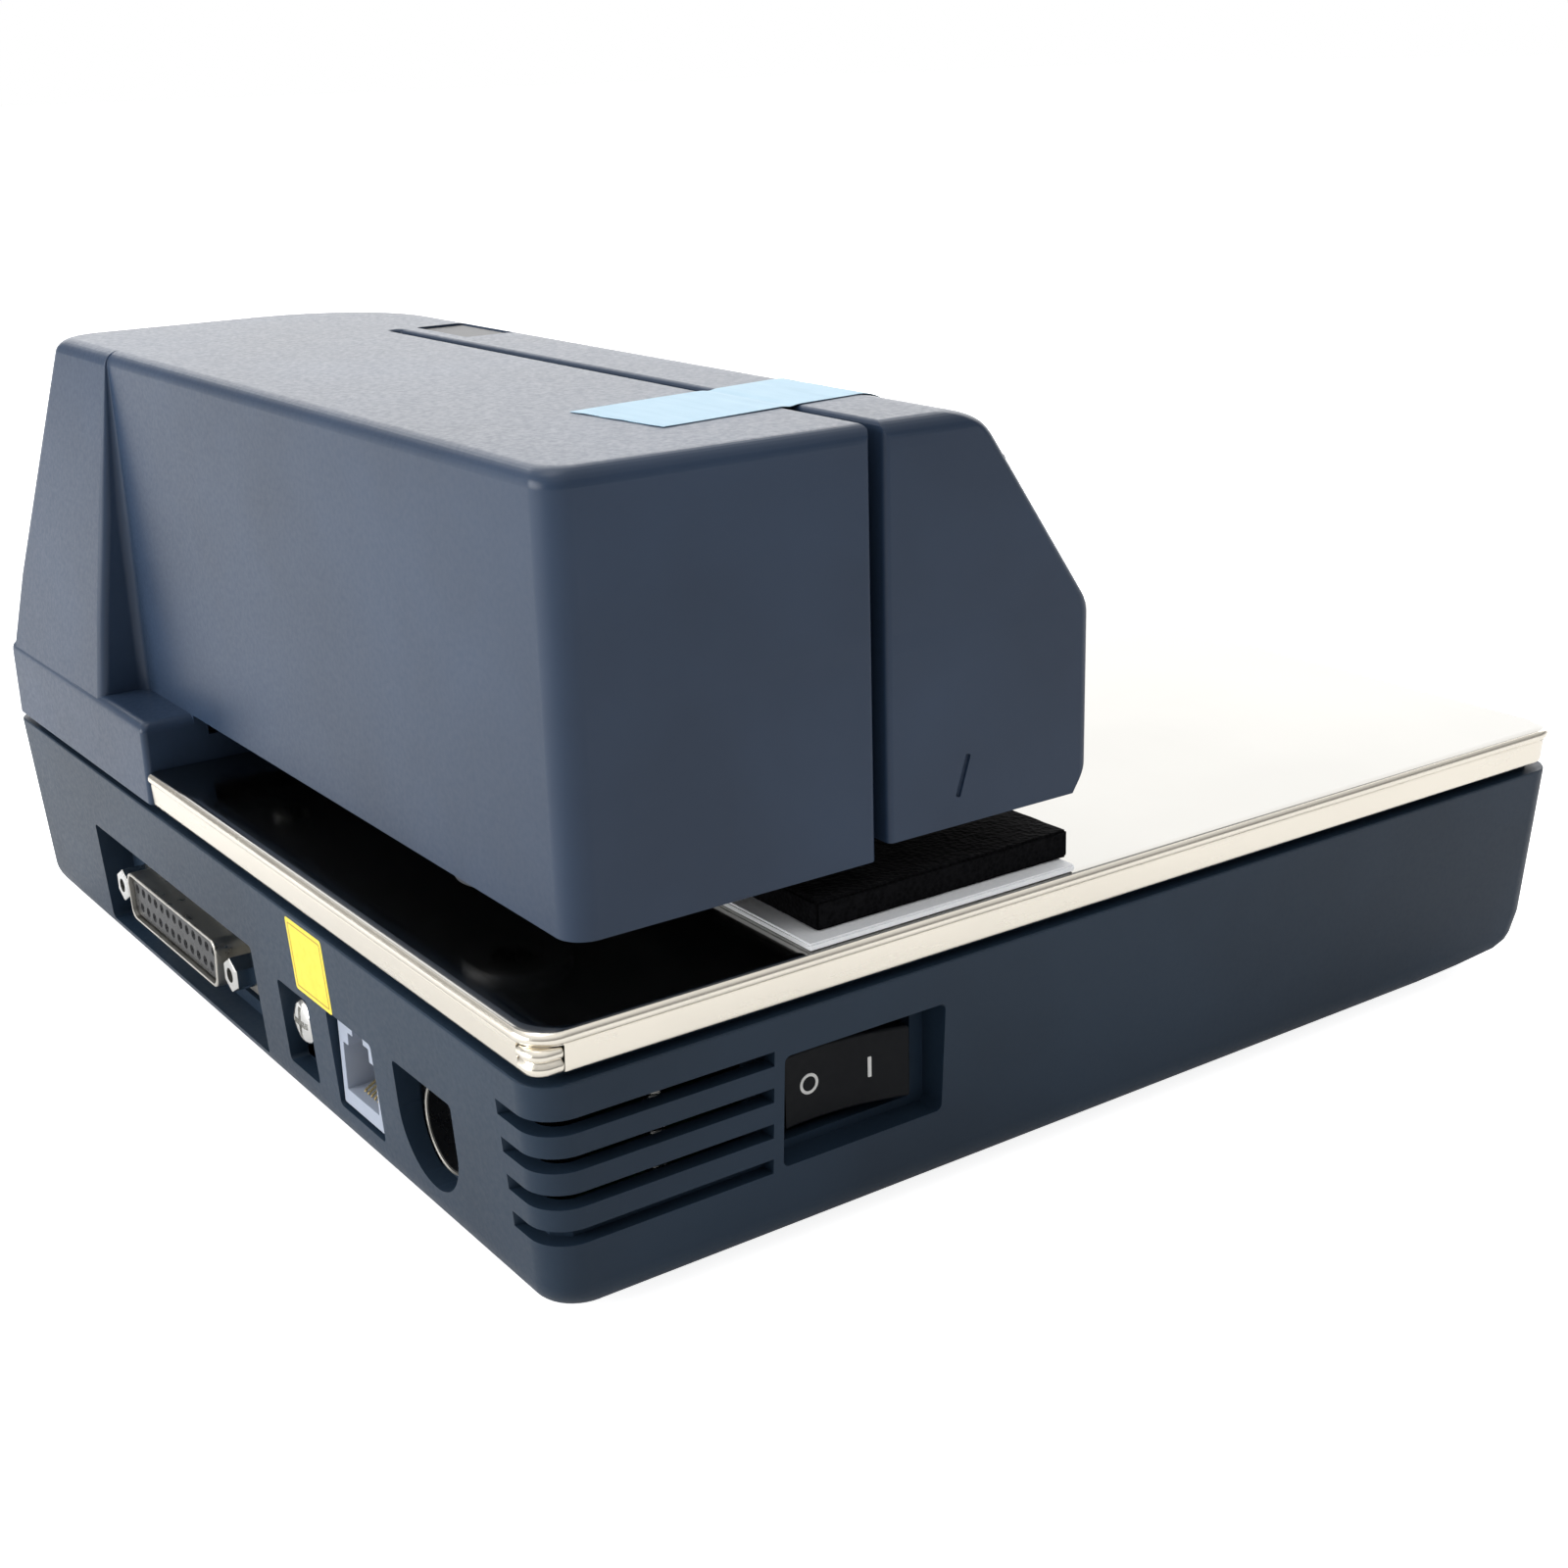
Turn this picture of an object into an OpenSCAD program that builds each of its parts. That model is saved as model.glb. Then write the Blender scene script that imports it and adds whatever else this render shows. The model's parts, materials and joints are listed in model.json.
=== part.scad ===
// Flatbed slip validation printer: a low rectangular base with a steel slip table, and a printing arm
// that reaches over the table from a tower at one side. Millimetres, +Z up. The origin is at the
// centre of the footprint, on the surface that the feet rest on. The connectors face +Y, the
// operator stands at -Y, the arm's free end points to -X and the tower is at +X.

/* [Body] */
// Overall width along X
body_w = 190.5; // [189.5:0.5:191.5]
// Overall depth along Y
body_d = 180.5; // [179.5:0.5:181.5]
// Overall height, feet included
body_h = 101; // [100.5:0.5:102]
// Height of the rubber feet below the base
foot_h = 2; // [1.5:0.5:2.5]
// Height of the base housing's rim
rim_z = 33.4; // [33:0.1:34]
// Height of the slip table's face
table_z = 40; // [39.5:0.5:40]
// Corner radius of the base in plan
corner_r = 5; // [4:0.5:6]
// How far the base walls lean in at the bottom
draft = 2; // [1.5:0.5:2.5]
// Thickness of the moulded walls
wall = 2.2; // [2:0.1:2.4]
// Thickness of the table's sheet
table_t = 1; // [0.8:0.1:1.2]

/* [Arm] */
// X of the arm's free end
arm_x = -91; // [-92:0.5:-90]
// Y of the arm's rear face
arm_rear = 82; // [81.5:0.5:82.5]
// Height of the underside of the arm behind the paper slot
arm_z = 47.5; // [47:0.5:48]
// Height of the underside of the arm in front of the paper slot
nose_z = 49.2; // [49:0.1:49.5]
// Y of the vertical nose
nose_y = 4; // [3.5:0.5:4.5]
// Height where the front slope starts
slope_z = 74.4; // [74:0.2:75]
// Y of the top edge of the front slope
slope_top_y = 22.3; // [21.8:0.1:22.8]
// X of the edge where the slip table meets the console
console_x = 25.6; // [25:0.2:26]
// X of the tower's inner side at the back
tower_x = 45.3; // [44.8:0.1:45.8]
// X of the tower's outer side at the top
tower_top_x = 73.3; // [73:0.1:74]

/* [Paper path] */
// Y of the middle of the paper slot
slot_y = 38.1; // [37.9:0.1:38.3]
// Width of the paper slot
slot_w = 2; // [1.8:0.1:2.2]
// X of the closed end of the paper slot
slot_end = 36.1; // [35.8:0.1:36.4]
// Height of the print line
print_z = 69; // [68.5:0.5:69.5]
// Radius of the driven rubber rollers
feed_r = 5; // [4.9:0.1:5]
// Radius of the pinch rollers
pinch_r = 4.5; // [4.4:0.1:4.5]
// Height of the roller nip
nip_z = 55.5; // [55.3:0.1:55.7]
// X of each pair of rollers
roller_xs = [-45, 5];

/* [Carriage] */
// X of the print head at its home position
head_home_x = 14; // [13:0.5:14]
// How far the head travels from home
head_travel = 70; // [60:1:72]
// Radius of the guide shaft
guide_r = 3; // [2.5:0.5:3]
// Pitch radius of the belt pulleys
pulley_r = 4.5; // [4.2:0.1:4.6]
// Number of teeth on the feed gear
gear_teeth = 24; // [22:2:26]
// Number of teeth on the feed motor's pinion
pinion_teeth = 12; // [10:1:12]
// Gear module
gear_m = 0.8; // [0.75:0.05:0.8]

/* [Hidden] */
$fn = 48;
eps = 0.01;

hw = body_w / 2;
hd = body_d / 2;
skirt_z = rim_z + 1;                       // lower edge of the table's flange and of the upper case
slot_front = slot_y - slot_w / 2;
slot_rear = slot_y + slot_w / 2;
slope_k = (slope_top_y - nose_y) / (body_h - slope_z);
slope_shift = sqrt(1 + slope_k * slope_k); // horizontal shift of the slope for 1 mm of thickness
side_bend_z = 42;                          // above this height the tower's rear and side lean in
side_k = (hw - tower_top_x) / (body_h - side_bend_z);
side_shift = sqrt(1 + side_k * side_k);
lower_cut_z = 53.6;                        // top of the small chamfer under the nose
lower_cut_y = nose_y + 2.8;

dsub_x = 25.5;
dsub_z = 14.1;
dsub_flange_y = 84;
jack_spacing = 47.04;
ground_x = -23;
ground_z = 15.4;
lug_y = 85.9;                              // face of the chassis tab that the ground screw clamps to
ground_head_y = 88.7;
rj_x = -41.9;
rj_z = 14.8;
rj_y = 88.3;
din_x = -63.5;
din_z = 15.1;
din_y = 86.4;
switch_y = 44;
switch_z = 20.05;
switch_floor_x = -90;
rocker_pivot_x = -87.4;
rocker_tilt = 7;                           // each way from level
deck_z = 28.4;                             // underside of the steel deck that spans the base
pcb_z = 6.4;
pcb_t = 1.6;
vent_pitch = 4.93;
vent_low_z = 13.1;

key_x = 62;
key_ys = [-62, -46, -30];
hinge_z = 94;
hinge_y = nose_y + (hinge_z - slope_z) * slope_k + slope_shift;
scoop_x = -26;                             // finger scoop of the ribbon cover
scoop_z = 57;
scoop_w = 24;
scoop_r = 7.4;
scoop_t = 0.9;
cover_t = 2;
cover_x1 = slot_end - 0.3;
cover_x0 = arm_x + wall + 0.3;
guide_y = 12.5;
guide_z = 60.5;
belt_y = 23;
belt_z = 54.3;
drive_x = 53;
idler_x = -80.5;
feed_shaft_r = 1.9;
pinch_shaft_r = 1.2;
feed_y = slot_y + 0.25 + feed_r;
pinch_y = slot_y - 0.05 - pinch_r;
gear_x = 40.5;
gear_gap = gear_m * (gear_teeth + pinion_teeth) / 2 + 0.15;
pinion_a = 38;                             // direction from the feed gear to its pinion, from +Y
pinion_y = feed_y + gear_gap * cos(pinion_a);
pinion_z = nip_z + gear_gap * sin(pinion_a);
stop_x = -20;
stop_y = 46;
stop_z = 80;
plunger_z = stop_z + 8.5;

// ---- helpers ----

// A rectangle with rounded corners, centred on the origin
module rounded_rect(w, d, r) {
  square([w - 2 * r, d], center = true);
  square([w, d - 2 * r], center = true);
  for (sx = [-1, 1], sy = [-1, 1]) {
    translate([sx * (w / 2 - r), sy * (d / 2 - r)]) circle(r = r, $fn = 32);
  }
}

// A box given by its low and high corners
module box(lo, hi) {
  translate(lo) cube([hi[0] - lo[0], hi[1] - lo[1], hi[2] - lo[2]]);
}

// A Y-Z outline extruded along X from x0 to x1
module along_x(x0, x1) {
  translate([x0, 0, 0]) rotate([90, 0, 90]) linear_extrude(x1 - x0) children();
}

// An X-Z outline extruded along Y from y0 to y1
module along_y(y0, y1) {
  translate([0, y1, 0]) rotate([90, 0, 0]) linear_extrude(y1 - y0) children();
}

module rod_x(x0, x1, y, z, r) {
  translate([x0, y, z]) rotate([0, 90, 0]) cylinder(r = r, h = x1 - x0);
}

module rod_y(y0, y1, x, z, r) {
  translate([x, y0, z]) rotate([-90, 0, 0]) cylinder(r = r, h = y1 - y0);
}

module rod_z(z0, z1, x, y, r) {
  translate([x, y, z0]) cylinder(r = r, h = z1 - z0);
}

// A plain spur gear about the origin, with straight-sided teeth
module gear_2d(teeth, m) {
  pitch = m * teeth / 2;
  root = pitch - 1.15 * m;
  tip = pitch + 0.85 * m;
  wr = 0.5 * m * PI * 0.56 / root * 180 / PI;
  wt = 0.5 * m * PI * 0.24 / tip * 180 / PI;
  polygon([for (i = [0 : teeth - 1]) let (a = 360 * i / teeth)
    each [for (p = [[root, -wr], [tip, -wt], [tip, wt], [root, wr]])
      [p[0] * cos(a + p[1]), p[0] * sin(a + p[1])]]]);
}

// ---- base ----

// One level of the base: a thin rounded plate at height z, inset on all sides, its front at front_y
module base_level(z, inset, front_y) {
  depth = hd - inset - front_y;
  translate([0, front_y + depth / 2, z]) linear_extrude(0.2)
    rounded_rect(2 * (hw - inset), depth, corner_r);
}

// The drafted outer form of the base, or its hollow when t is the wall's thickness
module base_form(t) {
  hull() {
    base_level(rim_z - 0.2 + (t > 0 ? 1 : 0), t, -hd + t);
    base_level(foot_h + 5 + t, draft * 0.85 + t, -hd + 1.8 + t);
    base_level(foot_h + 2.2 + t, draft + t, -hd + 9 + t);
    base_level(foot_h + t, draft + 2.4 + t, -hd + 34 + t);
  }
}

// Tongue inside the rim, which closes the seam from behind
module rim_tongue() {
  translate([0, 0, rim_z - 4]) linear_extrude(skirt_z + 1.6 - rim_z + 4) difference() {
    rounded_rect(body_w - 5, body_d - 5, corner_r - 2);
    rounded_rect(body_w - 7.6, body_d - 7.6, corner_r - 3);
    // gap for the console's wall beside the slip table
    translate([console_x - 0.4, -hd]) square([wall + 0.8, body_d]);
  }
}

module lower_housing() {
  color("#343c4a") rim_tongue();
  color("#343c4a") difference() {
    base_form(0);
    difference() {
      base_form(2.5);
      // walls of the recesses behind the connectors and the switch
      box([-11, 82, 0], [60.5, 92, 24.5]);
      box([-96, 29.3, 0], [switch_floor_x + 1.8, 58.5, 30]);
      for (p = screw_places()) rod_z(0, deck_z - 0.1, p[0], p[1], 4.5);
    }
    // recess of the interface connector, with the hole for its flange
    box([-9, dsub_flange_y, 5], [58.5, 92, 22.4]);
    box([dsub_x - 27.2, 80, dsub_z - 6.8], [dsub_x + 27.2, 86, dsub_z + 6.8]);
    // ground screw, drawer jack and power jack
    box([-28.1, 80, 7.8], [-17.9, 92, 20.6]);
    box([-48.9, 80, 7.5], [-34.9, 92, 21.9]);
    box([din_x - 8.1, 80, 15.6], [din_x + 8.1, 92, 22.4]);
    rod_y(80, 92, din_x, 15.6, 8.1);
    // recess and hole of the power switch
    box([-97, 31.5, 12.4], [switch_floor_x, 56.3, 27.7]);
    box([-97, 33.6, 13.6], [-80, 54.4, 26.5]);
    // vent slots that wrap the rear corner
    for (i = [0 : 3]) {
      box([-97, 57.8, vent_low_z - 1 + i * vent_pitch], [-91, 92, vent_low_z + 1 + i * vent_pitch]);
      box([-97, 86, vent_low_z - 1 + i * vent_pitch], [-85, 92, vent_low_z + 1 + i * vent_pitch]);
    }
    // shallow recess for the label
    label_block(-1, 0.2, 0.15);
    // screw holes from below, and the opening for the option switches
    for (p = screw_places()) {
      rod_z(-1, deck_z + 1, p[0], p[1], 1.6);
      rod_z(-1, 6, p[0], p[1], 3.2);
    }
    box([28, -32, 0], [62, -12, 8]);
  }
}

function screw_places() = [for (sx = [-1, 1], y = [-44, 66]) [sx * 80, y]];

module rubber_feet() {
  color("#16181c") for (sx = [-1, 1], y = [-50, 76]) {
    rod_z(0, foot_h, sx * 68, y, 8);
  }
}

module base_screws() {
  color("silver") for (p = screw_places()) {
    difference() {
      union() {
        rod_z(foot_h + 1.8, foot_h + 3.9, p[0], p[1], 2.8);
        rod_z(foot_h + 3.8, 35, p[0], p[1], 1.5);
      }
      translate([p[0], p[1], foot_h + 2.4]) {
        cube([3.4, 0.8, 1.4], center = true);
        cube([0.8, 3.4, 1.4], center = true);
      }
    }
  }
}

// A boss above the deck that takes one of the long screws
module deck_boss(p, top) {
  difference() {
    rod_z(deck_z + 1.4, top, p[0], p[1], 4);
    rod_z(deck_z, 37, p[0], p[1], 1.55);
  }
}

module slip_table() {
  color("#d8d4cc") difference() {
    translate([0, 0, skirt_z + 0.2]) linear_extrude(table_z - skirt_z - 0.2)
      rounded_rect(body_w, body_d, corner_r);
    translate([0, 0, skirt_z - 1]) linear_extrude(table_z - table_t - skirt_z + 1)
      rounded_rect(body_w - 2 * table_t, body_d - 2 * table_t, corner_r - table_t);
    box([console_x - 0.3, -100, 30], [100, 100, 50]);
  }
  color("#d8d4cc") for (p = screw_places()) if (p[0] < 0) deck_boss(p, table_z - table_t / 2);
}

// ---- upper case ----

// Outline of the arm seen from its end, inset by t, with its bottom at z0
module arm_outline(t, z0) {
  polygon([
    [arm_rear - t, z0],
    [arm_rear - t, body_h - t],
    [nose_y + (body_h - t - slope_z) * slope_k + slope_shift * t, body_h - t],
    [nose_y + t, slope_z - (slope_shift - 1) * t / slope_k],
    [nose_y + t, z0]
  ]);
}

// Outline of the tower's back, leaning in above the bend
module tower_back(t, z0) {
  polygon([
    [arm_rear - 10, z0],
    [hd - t, z0],
    [hd - t, side_bend_z],
    [arm_rear - 0.5 - t, body_h - t],
    [arm_rear - 10, body_h - t]
  ]);
}

// Everything beyond the tower's leaning side, inset by t
module side_cutter(t) {
  x_bend = hw - t;
  x_top = tower_top_x - side_shift * t + side_k * t;
  along_y(-100, 100) polygon([
    [x_bend, side_bend_z],
    [x_bend + 20, side_bend_z - 1],
    [x_bend + 20, body_h + 20],
    [x_top - (20 + t) * (x_bend - x_top) / (body_h - t - side_bend_z), body_h + 20]
  ]);
}

module console_plan(t) {
  x0 = console_x + t;
  x1 = hw - t;
  r = corner_r - t;
  translate([x0, -hd + t]) square([x1 - x0 - r, body_d - 2 * t]);
  translate([x0, -hd + t + r]) square([x1 - x0, body_d - 2 * t - 2 * r]);
  for (sy = [-1, 1]) translate([x1 - r, sy * (hd - t - r)]) circle(r = r, $fn = 48);
}

// The whole outer form of the upper case, inset by t; z_low is its lowest edge
module upper_form(t, z_low) {
  difference() {
    union() {
      along_x(arm_x + t, hw - t) arm_outline(t, arm_z - (t > 0 ? 3 : 0.2));
      along_x(tower_x + t, hw - t) tower_back(t, skirt_z + 3);
    }
    side_cutter(t);
    if (t == 0) box([arm_x - 1, -hd, arm_z - 1], [console_x, arm_rear + 1, arm_z]);
  }
  translate([0, 0, z_low]) linear_extrude(arm_z - t - z_low) console_plan(t);
}

module upper_case() {
  wall_y0 = slot_front - wall;
  wall_y1 = slot_rear + wall;
  color("#3a4252") difference() {
    upper_form(0, skirt_z);
    // hollow, with the slot's two walls and the bulkhead at its closed end left in place
    difference() {
      upper_form(wall, skirt_z - 1);
      box([arm_x, wall_y0, 40], [slot_end + wall, wall_y1, body_h]);
      box([slot_end, nose_y, 40], [slot_end + wall, wall_y1, body_h]);
      // console roof and side wall beside the slip table
      box([arm_x, -hd, 30], [console_x, nose_y + 0.1, arm_z]);
    }
    // underside in front of the slot is a little higher, with a small chamfer under the nose
    box([-100, -hd - 5, 40], [console_x - eps, slot_rear, nose_z]);
    along_x(-100, console_x - eps) polygon([[nose_y - 1, lower_cut_z], [nose_y, lower_cut_z],
      [lower_cut_y, nose_z], [lower_cut_y, nose_z - 2], [nose_y - 1, nose_z - 2]]);
    // paper slot, open at the free end, at the top and below
    box([-100, slot_front, arm_z - 1], [slot_end - slot_w / 2, slot_rear, body_h + 1]);
    rod_z(arm_z, body_h + 1, slot_end - slot_w / 2, slot_y, slot_w / 2);
    // print window, platen window, roller windows, stopper window and sensor holes
    box([-78, wall_y0 - 1, print_z - 7.6], [28, slot_y, print_z + 7.6]);
    box([-82, slot_y, print_z - 7], [32, wall_y1 + 1, print_z + 7]);
    for (x = roller_xs) {
      box([x - 9, wall_y0 - 1, nip_z - 5], [x + 9, slot_y, nip_z + 4.8]);
      box([x - 9, slot_y, nip_z - 5.6], [x + 9, wall_y1 + 1, nip_z + 5.6]);
    }
    box([stop_x - 4, slot_y, stop_z + 9], [stop_x + 4, wall_y1 + 1, stop_z + 16]);
    rod_y(wall_y0 - 1, wall_y1 + 1, -85, 84, 1.4);
    // openings of the bulkhead for the belt and the guide shaft's end, and for the feed shaft
    box([slot_end - 1, belt_y - 7, 50.4], [slot_end + wall + 1, belt_y + 7, belt_z + 3.4]);
    rod_x(slot_end - 1, slot_end + wall + 1, feed_y, nip_z, 3);
    rod_x(slot_end - 1, slot_end + wall + 1, pinch_y, nip_z, 2);
    // opening of the ribbon cover, with its hinge holes
    along_x(arm_x + wall, slot_end) polygon([
      [-5, 48],
      [lower_cut_y + 2.1, 48],
      [lower_cut_y + 2.1, 60],
      [hinge_y + 1.6 * slope_k / slope_shift + 3 / slope_shift,
        hinge_z + 1.6 / slope_shift - 3 * slope_k / slope_shift],
      [hinge_y + 1.6 * slope_k / slope_shift - 4 / slope_shift,
        hinge_z + 1.6 / slope_shift + 4 * slope_k / slope_shift],
      [-5, hinge_z]
    ]);
    rod_x(arm_x + wall - 1.6, arm_x + wall + 1, hinge_y, hinge_z, 1.06);
    rod_x(slot_end - 1, slot_end + 1.6, hinge_y, hinge_z, 1.06);
    // indicator window
    box([18.2, 26, body_h - 5], [35.8, 34.4, body_h + 1]);
    // recess and holes of the key panel
    box([key_x - 14, key_ys[0] - 10, arm_z - 0.6], [key_x + 14, key_ys[2] + 10, arm_z + 1]);
    for (y = key_ys) box([key_x - 10.3, y - 5.8, arm_z - 5], [key_x + 10.3, y + 5.8, arm_z + 1]);
    // slanted catch mark near the free end
    translate([arm_x, 25.4, 55.6]) rotate([18, 0, 0]) cube([0.9, 0.8, 5.6], center = true);
  }
  color("#3a4252") for (p = screw_places()) if (p[0] > 0) deck_boss(p, arm_z - 1);
  // web that ties the boss in the tower to the side wall
  color("#3a4252") box([82, 65, skirt_z + 3.6], [hw - wall + 0.5, 67, arm_z - 1]);
}

module rear_underside_plate() {
  color("#2c333f") difference() {
    union() {
      box([arm_x + wall + 0.2, slot_rear + wall + 0.2, arm_z],
        [console_x - 0.2, arm_rear - wall - 0.2, arm_z + 2]);
      rod_z(arm_z - 1.8, arm_z, -60.5, 73.4, 7);
    }
    for (x = [-60.5, 12]) rod_z(arm_z - 5, arm_z + 5, x, 73.4, 1.7);
    rod_z(arm_z - 2, arm_z, -60.5, 73.4, 3.4);
    for (x = roller_xs) box([x - 9, 30, arm_z + 1], [x + 9, feed_y + 6, arm_z + 3]);
  }
}

module front_underside_plate() {
  color("#2c333f") difference() {
    box([arm_x + wall + 0.2, lower_cut_y + 2.2, nose_z],
      [slot_end - 0.2, slot_front - wall - 0.2, nose_z + 1.4]);
    box([console_x - 0.2, 0, nose_z - 1], [slot_end + 1, 40, nose_z + 0.3]);
    for (x = [-72, 22]) rod_z(nose_z - 1, nose_z + 3, x, 32.2, 1.7);
  }
}

module screw_up(x, y, z, len) {
  difference() {
    union() {
      rod_z(z, z + 1.4, x, y, 2.8);
      rod_z(z + 1.3, z + len, x, y, 1.5);
    }
    translate([x, y, z]) {
      cube([3.4, 0.8, 1.4], center = true);
      cube([0.8, 3.4, 1.4], center = true);
    }
  }
}

module underside_screws() {
  color("silver") {
    screw_up(-60.5, 73.4, arm_z - 1.5, 8);
    screw_up(12, 73.4, arm_z - 1.5, 8);
    screw_up(-72, 32.2, nose_z - 1.5, 5);
    screw_up(22, 32.2, nose_z - 1.5, 5);
  }
}

// Front panel of the arm: sloped face, vertical nose and lower chamfer, hinged along its top edge
module ribbon_cover() {
  s = slope_shift * cover_t;
  color("#3a4252") {
    difference() {
      along_x(cover_x0, cover_x1) polygon([
        [nose_y + (hinge_z - slope_z) * slope_k, hinge_z],
        [nose_y, slope_z],
        [nose_y, lower_cut_z],
        [lower_cut_y, nose_z],
        [lower_cut_y + 1.9, nose_z],
        [lower_cut_y + 1.9, nose_z + 0.9],
        [nose_y + cover_t, lower_cut_z + 0.6],
        [nose_y + cover_t, slope_z - (slope_shift - 1) * cover_t / slope_k],
        [nose_y + (hinge_z - slope_z) * slope_k + s, hinge_z]
      ]);
      // finger scoop in the middle of the lower edge
      rod_x(scoop_x - scoop_w / 2, scoop_x + scoop_w / 2, nose_y - scoop_r + scoop_t, scoop_z, scoop_r);
    }
    rod_x(cover_x0 - 1.5, cover_x1 + 1.5, hinge_y, hinge_z, 1);
    // two stiffening ribs inside
    for (x = [-70, 18]) box([x, nose_y + cover_t - 0.2, 56], [x + 1.6, nose_y + cover_t + 0.9, 70]);
  }
}

module indicator_window() {
  color([0.1, 0.11, 0.13, 0.8]) box([18.4, 26.2, body_h - 1.8], [35.6, 34.2, body_h - 0.3]);
}

module indicator_leds() {
  color("#c8c4a8") {
    box([19, 26.4, body_h - 6.2], [35, 34, body_h - 5]);
    for (x = [22, 27, 32]) {
      rod_z(body_h - 5.1, body_h - 3.4, x, 30.2, 1.5);
      translate([x, 30.2, body_h - 3.4]) sphere(r = 1.5, $fn = 32);
    }
  }
}

// ---- operator keys ----

module key_panel() {
  color("#20252e") difference() {
    box([key_x - 13.8, key_ys[0] - 9.8, arm_z - 0.6], [key_x + 13.8, key_ys[2] + 9.8, arm_z + 0.2]);
    for (y = key_ys) box([key_x - 10.4, y - 5.9, arm_z - 5], [key_x + 10.4, y + 5.9, arm_z + 1]);
  }
}

module key_cap(y) {
  color("#59616f") {
    box([key_x - 10, y - 5.5, arm_z - 3.4], [key_x + 10, y + 5.5, arm_z + 1.3]);
    box([key_x - 10.9, y - 6.4, arm_z - 4], [key_x + 10.9, y + 6.4, arm_z - 2.7]);
    rod_z(arm_z - 5.5, arm_z - 3.9, key_x, y, 2);
  }
}

module forward_key() { key_cap(key_ys[0]); }
module reverse_key() { key_cap(key_ys[1]); }
module release_key() { key_cap(key_ys[2]); }

module key_switches() {
  color("#2f6b45") difference() {
    union() {
      box([key_x - 12, key_ys[0] - 9, arm_z - 12], [key_x + 12, key_ys[2] + 9, arm_z - 10.6]);
      for (y = key_ys) {
        box([key_x - 3, y - 3, arm_z - 10.7], [key_x + 3, y + 3, arm_z - 7.4]);
        rod_z(arm_z - 7.5, arm_z - 6.8, key_x, y, 1.7);
      }
    }
    for (sx = [-1, 1]) rod_z(arm_z - 13, arm_z - 10, key_x + sx * 9, key_ys[1] + 8, 1.6);
  }
}

// ---- labels, tape and transport damper ----

// The label's block, lying on the leaning rear wall between depths d0 and d1 inside it
module label_block(d0, d1, grow) {
  lean = atan(draft * 0.85 / (rim_z - foot_h - 5.2));
  translate([0, hd, rim_z - 0.2]) rotate([-lean, 0, 0])
    box([-37.4 - grow, -d1, -11.5 - grow], [-25.4 + grow, -d0, -0.4 + grow]);
}

module caution_label() {
  color("#f2d94a") label_block(0.04, 0.2, 0);
}

module shipping_tape() {
  color("#b5d9e8") translate([-64.8, 40.5, body_h]) rotate([0, 0, 7])
    box([-9, -17.6, 0], [9, 18.6, 0.15]);
}

module damper_foam() {
  color("#0c0d10") box([-92, 8.6, table_z + 1], [-38, 49, table_z + 4.8]);
}

module damper_sheet() {
  color("#f3f4f6") box([-94.6, 9.6, table_z + 0.05], [-34, 52, table_z + 1]);
}

// ---- rear connectors ----

// The D-shaped outline of the 25-way connector, its wide side up
module dsub_outline(t) {
  polygon([
    [-18.6 + t, -3.95 + t], [18.6 - t, -3.95 + t],
    [19.5 - t, 3.95 - t], [-19.5 + t, 3.95 - t]
  ]);
}

module dsub_shell() {
  color("#c6c2b8") difference() {
    union() {
      box([dsub_x - 26.5, dsub_flange_y - 1.2, dsub_z - 6.25],
        [dsub_x + 26.5, dsub_flange_y - 0.2, dsub_z + 6.25]);
      translate([dsub_x, 0, dsub_z]) along_y(dsub_flange_y - 1, 89.6) dsub_outline(0);
      box([dsub_x - 20.5, dsub_flange_y - 9, dsub_z - 5.4], [dsub_x + 20.5, dsub_flange_y - 1, dsub_z + 5.4]);
    }
    translate([dsub_x, 0, dsub_z]) along_y(dsub_flange_y - 6, 92) dsub_outline(0.5);
    for (sx = [-1, 1]) rod_y(80, 90, dsub_x + sx * jack_spacing / 2, dsub_z, 1.6);
  }
}

module dsub_insert() {
  color("#14161a") translate([dsub_x, 0, dsub_z]) difference() {
    along_y(dsub_flange_y - 5.8, 89.2) dsub_outline(0.7);
    for (i = [0 : 12]) rod_y(80, 92, (i - 6) * 2.76, 1.42, 0.6);
    for (i = [0 : 11]) rod_y(80, 92, (i - 5.5) * 2.76, -1.42, 0.6);
  }
}

module dsub_jack_posts() {
  color("#d9d9d6") for (sx = [-1, 1]) difference() {
    union() {
      translate([dsub_x + sx * jack_spacing / 2, dsub_flange_y - 0.2, dsub_z]) rotate([-90, 30, 0])
        cylinder(r = 2.75, h = 5.4, $fn = 6);
      rod_y(78.4, dsub_flange_y - 0.1, dsub_x + sx * jack_spacing / 2, dsub_z, 1.4);
    }
    rod_y(dsub_flange_y, 92, dsub_x + sx * jack_spacing / 2, dsub_z, 1.15);
  }
}

module ground_screw() {
  color("#d9d9d6") difference() {
    union() {
      rod_y(lug_y, lug_y + 0.5, ground_x, ground_z, 4.4);
      rod_y(lug_y, ground_head_y, ground_x, ground_z, 3.4);
      rod_y(lug_y - 10, lug_y + 0.1, ground_x, ground_z, 1.95);
    }
    translate([ground_x, ground_head_y - 0.1, ground_z]) {
      cube([4.6, 1.4, 0.9], center = true);
      cube([0.9, 1.4, 4.6], center = true);
    }
  }
}

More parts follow.
